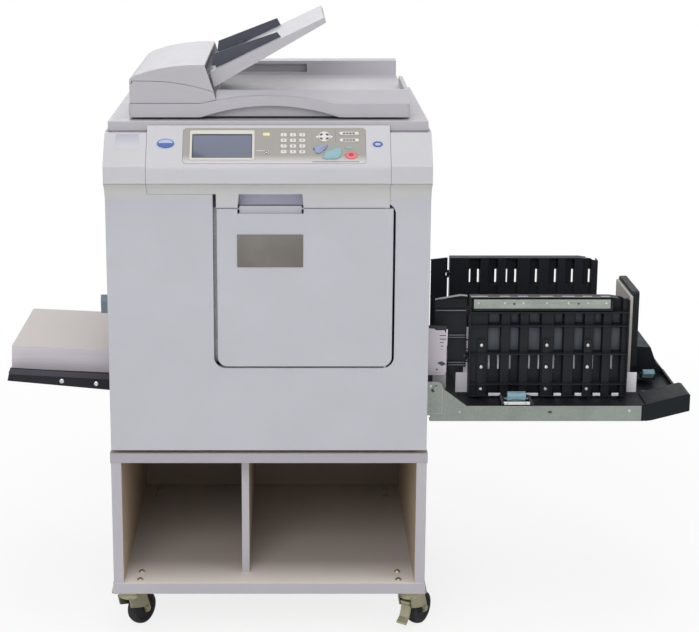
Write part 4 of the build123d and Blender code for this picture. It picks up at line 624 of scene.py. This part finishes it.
# Two adjusting bars: white arrow heads at their ends and dark blocks along the middle
for index, row in enumerate((29.5, 13.2)):
    low, high = row - 2.2, row + 2.2
    deck_plate(
        f"adjust_arrows_{index}",
        [[(147.4, row), (151.6, low), (151.6, high)], [(184.6, row), (180.4, high), (180.4, low)]],
        IN_SMALL_KEY, 1.8, "function_keys", EXTRA["pale_print"], 0.0,
    )
    deck_plate(
        f"adjust_blocks_{index}",
        [rounded(a, a + 5.2, row - 1.6, row + 1.6, 0.8, 2) for a in (153.4, 159.8, 166.2, 172.6)],
        IN_SMALL_KEY, 1.6, "function_keys", EXTRA["ink"], 0.0,
    )
deck_plate(
    "upper_small_key_face", [rounded(158.6, 171.4, -7.2, -2.8, 1.8)], IN_SMALL_KEY, 1.8, "function_keys",
    LOOKS["key_teal"], 0.2,
)
deck_plate(
    "small_key_ring", [oval(-3, -16, 4.6, 3.4, 24)], IN_SMALL_KEY, 1.6, "function_keys", EXTRA["ink"],
    0.0, holes=[oval(-3, -16, 2.6, 1.7, 24)],
)

# Printed lines on the panel, and a grey bar under the large keys
deck_plate(
    "panel_lines", [rounded(137.2, 138.2, 9, 39, 0.2, 2), rounded(90, 186, -39.0, -37.2, 0.4, 2)], IN_PANEL,
    0.75, "machine", EXTRA["grey_print"], 0.0,
)
deck_plate(
    "panel_pale_lines", [rounded(-24, -9, -11.8, -10.9, 0.2, 2), rounded(139.5, 193, -40.9, -40.3, 0.2, 2)],
    IN_PANEL, 0.72, "machine", EXTRA["pale_print"], 0.0,
)


def leaf(points, radius=2.4, steps=4):
    """A polygon's outline with its corners rounded."""
    outline = []
    for before, here, after in zip(points[-1:] + points[:-1], points, points[1:] + points[:1]):
        here = Vector(here)
        start = here + (Vector(before) - here).normalized() * radius
        end = here + (Vector(after) - here).normalized() * radius
        for step in range(steps + 1):
            share = step / steps
            rest = 1 - share
            outline.append(tuple(start * rest ** 2 + here * 2 * share * rest + end * share ** 2))
    return outline


# Leaf-shaped faces of the two large keys, and a mark on the round one
MASTER_KEY = [(93.5, -4.6), (97.2, -17.6), (105.6, -18.8), (122.6, -2.2), (120.8, 1.6), (109, 1.2)]
START_KEY = [
    (109.6, -27.4), (117, -32), (140.6, -32), (148.6, -24.6), (149.4, -6.6), (136.4, -6.8), (122.4, -15.6),
]
deck_plate(
    "master_key_face", [leaf(MASTER_KEY)], IN_LARGE_KEY, 2.6, "master_key", EXTRA["master_blue"],
    0.5,
)
deck_plate(
    "start_key_face", [leaf(START_KEY)], IN_LARGE_KEY, 2.6, "start_key", LOOKS["key_teal"],
    0.5,
)
deck_plate(
    "stop_key_mark", [oval(169.6, -21.6, 5.2, 3.4, 24)], IN_LARGE_KEY, 2.1, "stop_key",
    EXTRA["stop_mark"], 0.1,
)

# Oval lamp at the right, and the rim and glint of the oval button at the left
deck_plate(
    "right_oval_rim", [oval(224, 3.8, 10.4, 6.8)], IN_DECK, 1.0, "machine", LOOKS["key_blue"],
    0.3, holes=[oval(224, 3.8, 6.2, 3.4)],
)
deck_plate(
    "right_oval_lens", [oval(224, 3.8, 6.1, 3.3)], IN_DECK, 0.8, "machine", EXTRA["pale_blue"],
    0.3,
)
deck_plate(
    "left_oval_rim", [oval(-209, 5.4, 19.4, 12.4)], IN_DECK, 0.7, "machine", EXTRA["pale_blue"],
    0.2, holes=[oval(-209, 5.4, 17.2, 10.7)],
)
deck_plate(
    "left_oval_glint", [ring_part(-209, 5.6, (13.2, 0.2), (14.6, 8.6), 0, 180, 20)], IN_LARGE_KEY,
    1.95, "standby_button", EXTRA["pale_blue"], 0.0,
)
deck_plate(
    "cap_window", [rounded(-312, -263.6, -9, 28.4, 3)], -1.6, 0.25, "machine", EXTRA["cap_window"],
    0.2,
)

# ---------------------------------------------------------------- door and body

# Depths of the door's face, its recess's back, the grip lip and the painted shade behind the left gap
DOOR_FACE = -2.5
RECESS_BACK = 30
LIP_FACE = 6
GAP_SHADE_FACE = 26


def face_plate(name, y, outlines, high, body, material, slot, low=-0.2, edge=0.2, holes=()):
    """One or more outlines in x and z, raised towards the front from depth y."""
    cut_plate(name, frame_at(FRONT, 0, y, 0), outlines, low, high, body, material, edge, holes)


face_plate(
    "badge_plate", DOOR_FACE, [rounded(-64, 72, 831, 900, 1.2)], 1.6, "front_door", EXTRA["plate_olive"],
    "panel_grey", edge=0.5,
)
# A lavender plate on the recess's back wall, lighter and bluer as painted light in the recess's shade
face_plate(
    "recess_back", RECESS_BACK, [rounded(-60, 70, 957, 984, 0.5, 2)], 0.8, "machine", EXTRA["recess_back"],
    "console_plastic",
)
# A dark line of painted shadow along the top of the door's grip lip
face_plate(
    "lip_shadow_line", LIP_FACE, [rounded(-59, 69, 958.6, 960.8, 0.4, 2)], 0.4, "front_door", EXTRA["ink"],
    "cover_paint",
)
# A grey plate behind the door's left gap: painted shade seen in the gap
face_plate(
    "gap_shade", GAP_SHADE_FACE, [rounded(-128, -101, 951, 996, 1, 2)], 1.5, "machine", EXTRA["seal_grey"],
    "inner_steel", low=-0.5,
)

# ---------------------------------------------------------------- receiving side

# Depths behind the body's front face: first the front fence's ribs, bosses, sunk panels and liners
FENCE_FACE = 105
BOSS_FACE = 107.8
FENCE_PANEL = 127.7
FENCE_LINER = 132.4
FOOT_LINER = 133.4
# Then its wing and its lever, the holder, the bracket, the rail and the feed tray
WING_FACE = 114
WING_TOP = 121
LEVER_FACE = 56
LEVER_ARMS = 57.4
HOLDER_FACE = 78.4
HOLDER_SLOT_SHADE_FACE = 77.3
BRACKET_FACE = 49.4
RAIL_FACE = 52
FEED_FACE = 120
FEED_SCREWS = 117.6
# Heights of the fence's top and of the floor in the end cap, and the end fence's place in x
FENCE_TOP = 738
CAP_FLOOR = 504
END_FENCE = 800


def fence_plate(name, y, outlines, high, look, **more):
    """One or more outlines on the front fence."""
    face_plate(name, y, outlines, high, "front_fence", EXTRA[look], "slate_plastic", **more)


def fixed_plate(name, y, outlines, high, look, slot, **more):
    """One or more outlines on a part that stands still."""
    face_plate(name, y, outlines, high, "machine", EXTRA[look], slot, **more)


def bars(rows, radius=0.5):
    """Outlines of rectangles with small round corners, from rows of their limits."""
    return [rounded(*row, radius, 2) for row in rows]


# Front fence: a steel strip with screws and two round holes, and screws in its bosses
fence_plate(
    "strip_steel", FENCE_FACE, [rounded(440, 733.2, 713.2, 733.2, 0.8)], 1.3, "strip_steel", edge=0.3,
    holes=[oval(526.4, 723.4, 2.4, 2.4, 20), oval(664.7, 723.8, 2.4, 2.4, 20)],
)
# Dark discs behind the strip's holes: painted shade inside them
fence_plate(
    "strip_hole_shade", FENCE_FACE, [oval(526.4, 723.4, 2.6, 2.6, 20), oval(664.7, 723.8, 2.6, 2.6, 20)], 0.3,
    "ink", edge=0.0,
)
screws(
    "strip_screws", FRONT,
    [(x, FENCE_FACE - 1.3, 724.6) for x in (449.7, 506.3, 546.2, 596.4, 642.6, 684.4, 724.1)],
    "front_fence", EXTRA["chrome"], 2.6, 1.4,
)
screws(
    "boss_screws", FRONT, [(x, BOSS_FACE, z) for x in (459, 600, 689) for z in (630, 581, 531)],
    "front_fence", EXTRA["chrome"], 3.8, 1.8,
)
SUNK_PANELS = ((473, 501), (521, 542), (561, 588), (616, 637), (660, 681), (702, 721), (740, 762))
fence_plate(
    "fence_windows", FENCE_PANEL, bars([(a + 1.8, b - 1.2, 614.5, 664.5) for a, b in SUNK_PANELS], 0.8), 0.5,
    "slate_window",
)
fence_plate(
    "fence_upper_windows", FENCE_PANEL, bars([(a + 3, b - 3, 676.5, 700) for a, b in SUNK_PANELS], 0.8), 0.5,
    "slate_dim",
)

# Light catches on the fence's top edge, on its rib ends and along the wing
TOP_HIGHLIGHTS = ((434, 471), (496, 518), (535, 557), (582, 611), (630, 657), (673, 694), (713, 733))
FOOT_HIGHLIGHTS = ((476, 502), (559, 584), (618, 634), (664, 678), (703, 719), (744, 759))
top_edge = frame_at(TOP, 0, 0, FENCE_TOP)
cut_plate(
    "fence_top_highlights", top_edge, bars([(a, b, 105.4, 116) for a, b in TOP_HIGHLIGHTS], 1), -0.2, 0.5,
    "front_fence", EXTRA["chip_grey"], 0.2,
)
cut_plate(
    "fence_top_highlight_line", top_edge, bars([(433, 733, 105.2, 108)], 1), -0.2, 0.3, "front_fence",
    EXTRA["chip_grey"], 0.1,
)
fence_plate(
    "fence_foot_highlights", FENCE_FACE, bars([(a, b, 516.6, 523.2) for a, b in FOOT_HIGHLIGHTS], 0.8), 0.8,
    "pale_liner",
)
face_plate(
    "wing_edge_highlight", WING_TOP, [[(358, 730), (412, 739.8), (427, 738.2), (427, 736.8), (412, 738), (358, 728.4)]],
    5, "front_wing", EXTRA["chip_grey"], "slate_plastic", low=-4, edge=0.1,
)
face_plate(
    "wing_rib_highlights", WING_FACE,
    bars([
        (359, 424, 705.6, 707.4), (388, 424, 650.6, 652), (388, 424, 645.8, 647), (388, 424, 588.8, 590.2),
        (388, 424, 583.6, 585),
    ], 0.4),
    0.5, "front_wing", EXTRA["grey_print"], "slate_plastic", edge=0.0,
)

# Pale liner on the fence's inner side, which shows through its slots and under the wing
fence_plate(
    "fence_liner", FENCE_LINER,
    [rounded(436, 774, 566, 609, 1.5)]
    + bars([(423, 434, 637, 664), (423, 434, 615.6, 633.6), (423, 434, 588, 612.6), (423, 434, 562, 584.6)]),
    0.9, "pale_liner", low=-0.3,
)
fence_plate("foot_liner", FOOT_LINER, [rounded(407, 803, 516, 561, 1)], 0.8, "pale_liner", low=-0.8)

# Lever on the front fence: a bright plate with two pins between slanted arms
fence_plate("lever_plate", LEVER_FACE, bars([(503, 560, 512.6, 519.6)], 0.8), 0.8, "off_white")
screws(
    "lever_pins", FRONT, [(x, LEVER_FACE - 0.8, 516.6) for x in (511.6, 550.2)], "front_fence",
    EXTRA["chrome"], 2.2, 1.4,
)
fence_plate(
    "lever_arms", LEVER_ARMS,
    [[(494, 534), (498.6, 534), (505.4, 512.6), (499.4, 512.6)],
     [(554.4, 532), (559, 532), (569.6, 512.6), (563.4, 512.6)]],
    2.6, "shadow",
)

# End fence: a pale plate on its inner side and a brown floor behind the end cap
cut_plate(
    "end_plate", frame_at(RIGHT, END_FENCE, 0, 0), [rounded(217.5, 378.5, 515, 709.5, 1)], -0.5, 5.9,
    "end_fence", EXTRA["end_beige"], 0.3,
)
cut_plate(
    "cap_floor", frame_at(TOP, 0, 0, CAP_FLOOR), [rounded(824, 892, 136, 180, 1)], -0.3, 0.8, "machine",
    EXTRA["brown_floor"], 0.2,
)

# Holder by the body: a pale plate with five slots, two holes and a foot behind the bracket
HOLDER = [
    (337, 676.5), (353.6, 675.6), (356.2, 672.4), (375.2, 672.2), (380.6, 661.6), (381, 578.6), (337, 578.8),
]
HOLDER_SLOTS = (
    (365, 379.4, 660.9), (365, 380, 652.9), (366.4, 373.6, 645.1), (367.6, 373.2, 637.1),
    (368.4, 371.6, 629.9),
)
fixed_plate("holder_face", HOLDER_FACE, [HOLDER], 1.1, "holder_pink", "body_plastic", edge=0.3)
# The holder's slots and holes are dark plates of painted shade
fixed_plate(
    "holder_slot_shade", HOLDER_SLOT_SHADE_FACE,
    bars([(a, b, z - 0.9, z + 0.9) for a, b, z in HOLDER_SLOTS], 0.8)
    + [oval(360.6, 585, 2.2, 2.0, 16), leaf([(360.6, 600), (371, 603.6), (380.4, 597), (371, 593)], 1.2)],
    0.2, "ink", "body_plastic", edge=0.0,
)
# Dark plates of painted shade behind the holder's top and beside its foot
fixed_plate(
    "holder_shade", HOLDER_FACE + 1.6, [[(336.5, 640), (380, 640), (380, 681), (336.5, 683)]], 0.8, "shadow",
    "body_plastic", low=-1,
)
fixed_plate(
    "holder_foot", HOLDER_FACE + 3.6, bars([(352, 381, 540, 579)], 1), 0.8, "chip_grey", "body_plastic",
    low=-1,
)
fixed_plate(
    "holder_gap_shade", HOLDER_FACE + 5.6, bars([(335.5, 353, 540, 579)], 1), 0.8, "shadow", "body_plastic", low=-1,
)

# Feed tray: a lighter upper band on its front edge, with two bright screws
face_plate(
    "feed_band", FEED_FACE, [[(-563.5, 573.5), (-566.5, 561), (-346, 549), (-346, 561.3)]], 0.7, "feed_tray",
    EXTRA["feed_band"], "tray_black",
)
screws(
    "feed_screws", FRONT, [(-452, FEED_SCREWS, 546), (-377, FEED_SCREWS, 540)], "feed_tray",
    EXTRA["chrome"], 5.2, 2.0,
)

# Bracket and rail: edges, pivot, screws and an oval slot
fixed_plate(
    "bracket_edge", BRACKET_FACE,
    [[(369.8, 496), (371.4, 496), (371.4, 550), (369.8, 551)]] + bars([(337, 371.4, 494.6, 495.8)], 0.3),
    0.7, "end_beige", "tray_steel", edge=0.0,
)
fixed_plate(
    "bracket_marks", BRACKET_FACE, [oval(357.5, 556, 2.6, 2.6, 20), oval(351, 547, 4.2, 4.0, 24)], 0.3, "ink",
    "tray_steel", edge=0.0,
)
screws("bracket_screw", FRONT, [(345, BRACKET_FACE, 556)], "machine", EXTRA["chrome"], 3.0, 1.4)
screws(
    "rail_screws", FRONT, [(408.6, RAIL_FACE, 496.8), (773, RAIL_FACE, 500.4)], "machine", EXTRA["screw"],
    3.0, 1.5,
)
# The rail's oval slot is a dark plate of painted shade
fixed_plate(
    "rail_slot_shade", RAIL_FACE, [rounded(598, 607, 494.6, 500.2, 2.6)], 0.3, "ink", "tray_steel", edge=0.0,
)

# ---------------------------------------------------------------- studio

# The floor is lit white for the camera by this share near the machine and wholly farther off,
# over these distances in metres
NEAR_GLOW = 0.8
GLOW_SPAN = (0.7, 2.4)
AMBIENT = 0.53

floor = bpy.data.meshes.new("floor")
floor.from_pydata([(-9, -7, 0), (9, -7, 0), (9, 9, 0), (-9, 9, 0)], [], [(0, 1, 2, 3)])
floor_piece = bpy.data.objects.new("floor", floor)
bpy.context.scene.collection.objects.link(floor_piece)


def hide_from_view(tree, shader):
    """A mix that keeps a shader from the camera, gloss and glass, which get its second input."""
    nodes, links = tree.nodes, tree.links
    path = nodes.new("ShaderNodeLightPath")
    seen = nodes.new("ShaderNodeMath")
    seen.operation = "MAXIMUM"
    links.new(path.outputs["Is Camera Ray"], seen.inputs[0])
    links.new(path.outputs["Is Glossy Ray"], seen.inputs[1])
    through = nodes.new("ShaderNodeMath")
    through.operation = "MAXIMUM"
    links.new(seen.outputs[0], through.inputs[0])
    links.new(path.outputs["Is Transmission Ray"], through.inputs[1])
    pick = nodes.new("ShaderNodeMixShader")
    links.new(through.outputs[0], pick.inputs["Fac"])
    links.new(shader, pick.inputs[1])
    return pick


ground = Graph("ground")
speckle = ground.ramp(ground.noise(3.0, 3.0), 0.3, 0.7, 0.0, 1.0)
ground.set(Base_Color=ground.mix(speckle, tone(248, 248, 248), tone(252, 252, 251)))
ground.set(Roughness=0.9, Specular_IOR_Level=0.1)
glow = ground.nodes.new("ShaderNodeEmission")
glow.inputs["Color"].default_value = (1, 1, 1, 1)
glow.inputs["Strength"].default_value = 1.0
lit = ground.nodes.new("ShaderNodeMixShader")
ground_path = ground.nodes.new("ShaderNodeLightPath")
away = ground.nodes.new("ShaderNodeVectorMath")
away.operation = "LENGTH"
ground.links.new(ground.place, away.inputs[0])
fade = ground.ramp(away.outputs["Value"], *GLOW_SPAN, NEAR_GLOW, 1.0)
ground.links.new(ground.math("MULTIPLY", ground_path.outputs["Is Camera Ray"], fade), lit.inputs["Fac"])
ground.links.new(ground.shader.outputs["BSDF"], lit.inputs[1])
ground.links.new(glow.outputs["Emission"], lit.inputs[2])
ground.links.new(lit.outputs["Shader"], ground.output.inputs["Surface"])
floor.materials.append(ground.material)

world = bpy.data.worlds.new("studio")
bpy.context.scene.world = world
world.use_nodes = True
world.node_tree.nodes.clear()
soft = world.node_tree.nodes.new("ShaderNodeBackground")
soft.inputs["Color"].default_value = (1, 1, 1, 1)
soft.inputs["Strength"].default_value = AMBIENT
bright = world.node_tree.nodes.new("ShaderNodeBackground")
bright.inputs["Color"].default_value = (1, 1, 1, 1)
bright.inputs["Strength"].default_value = 1.0
pick = hide_from_view(world.node_tree, soft.outputs["Background"])
world.node_tree.links.new(bright.outputs["Background"], pick.inputs[2])
world_out = world.node_tree.nodes.new("ShaderNodeOutputWorld")
world.node_tree.links.new(pick.outputs["Shader"], world_out.inputs["Surface"])


def softbox(name, at, towards, size, watts):
    """A large area lamp aimed at a point."""
    data = bpy.data.lights.new(name, "AREA")
    data.shape = "RECTANGLE"
    data.size, data.size_y = size
    data.energy = watts
    lamp = bpy.data.objects.new(name, data)
    bpy.context.scene.collection.objects.link(lamp)
    lamp.location = at
    lamp.rotation_euler = (Vector(towards) - Vector(at)).to_track_quat("-Z", "Y").to_euler()


softbox("lamp_front", (-1.2, -4.2, 3.4), (0.0, 0.0, 0.7), (2.6, 2.2), 70)
softbox("lamp_above", (0.3, -0.6, 4.6), (0.0, 0.0, 0.8), (3.4, 3.0), 45)
softbox("lamp_right", (3.6, -1.6, 2.4), (0.0, 0.0, 0.7), (2.0, 2.2), 15)
softbox("lamp_back", (-1.0, 4.2, 3.0), (0.0, 0.0, 0.8), (2.6, 2.0), 30)

# The photograph's camera, from known sizes on the machine: the picture's size, its focal length
# and optical centre in pixels, where it stands, and how many degrees it looks down
WIDTH, HEIGHT = 699, 632
FOCAL = 1636
CENTRE_X, CENTRE_Y = 290, 235
STANDPOINT = (45, -3290.2, 1636.6)
DOWN = 12.644
SENSOR = 36
camera = bpy.data.cameras.new("camera")
camera.sensor_width = SENSOR
camera.lens = FOCAL / WIDTH * SENSOR
camera.shift_x = (WIDTH / 2 - CENTRE_X) / WIDTH
camera.shift_y = (CENTRE_Y - HEIGHT / 2) / WIDTH
camera.clip_end = 60
viewer = bpy.data.objects.new("camera", camera)
bpy.context.scene.collection.objects.link(viewer)
viewer.location = place(*STANDPOINT)
viewer.rotation_euler = (radians(90 - DOWN), 0, 0)
bpy.context.scene.camera = viewer
bpy.context.scene.view_settings.view_transform = "Standard"
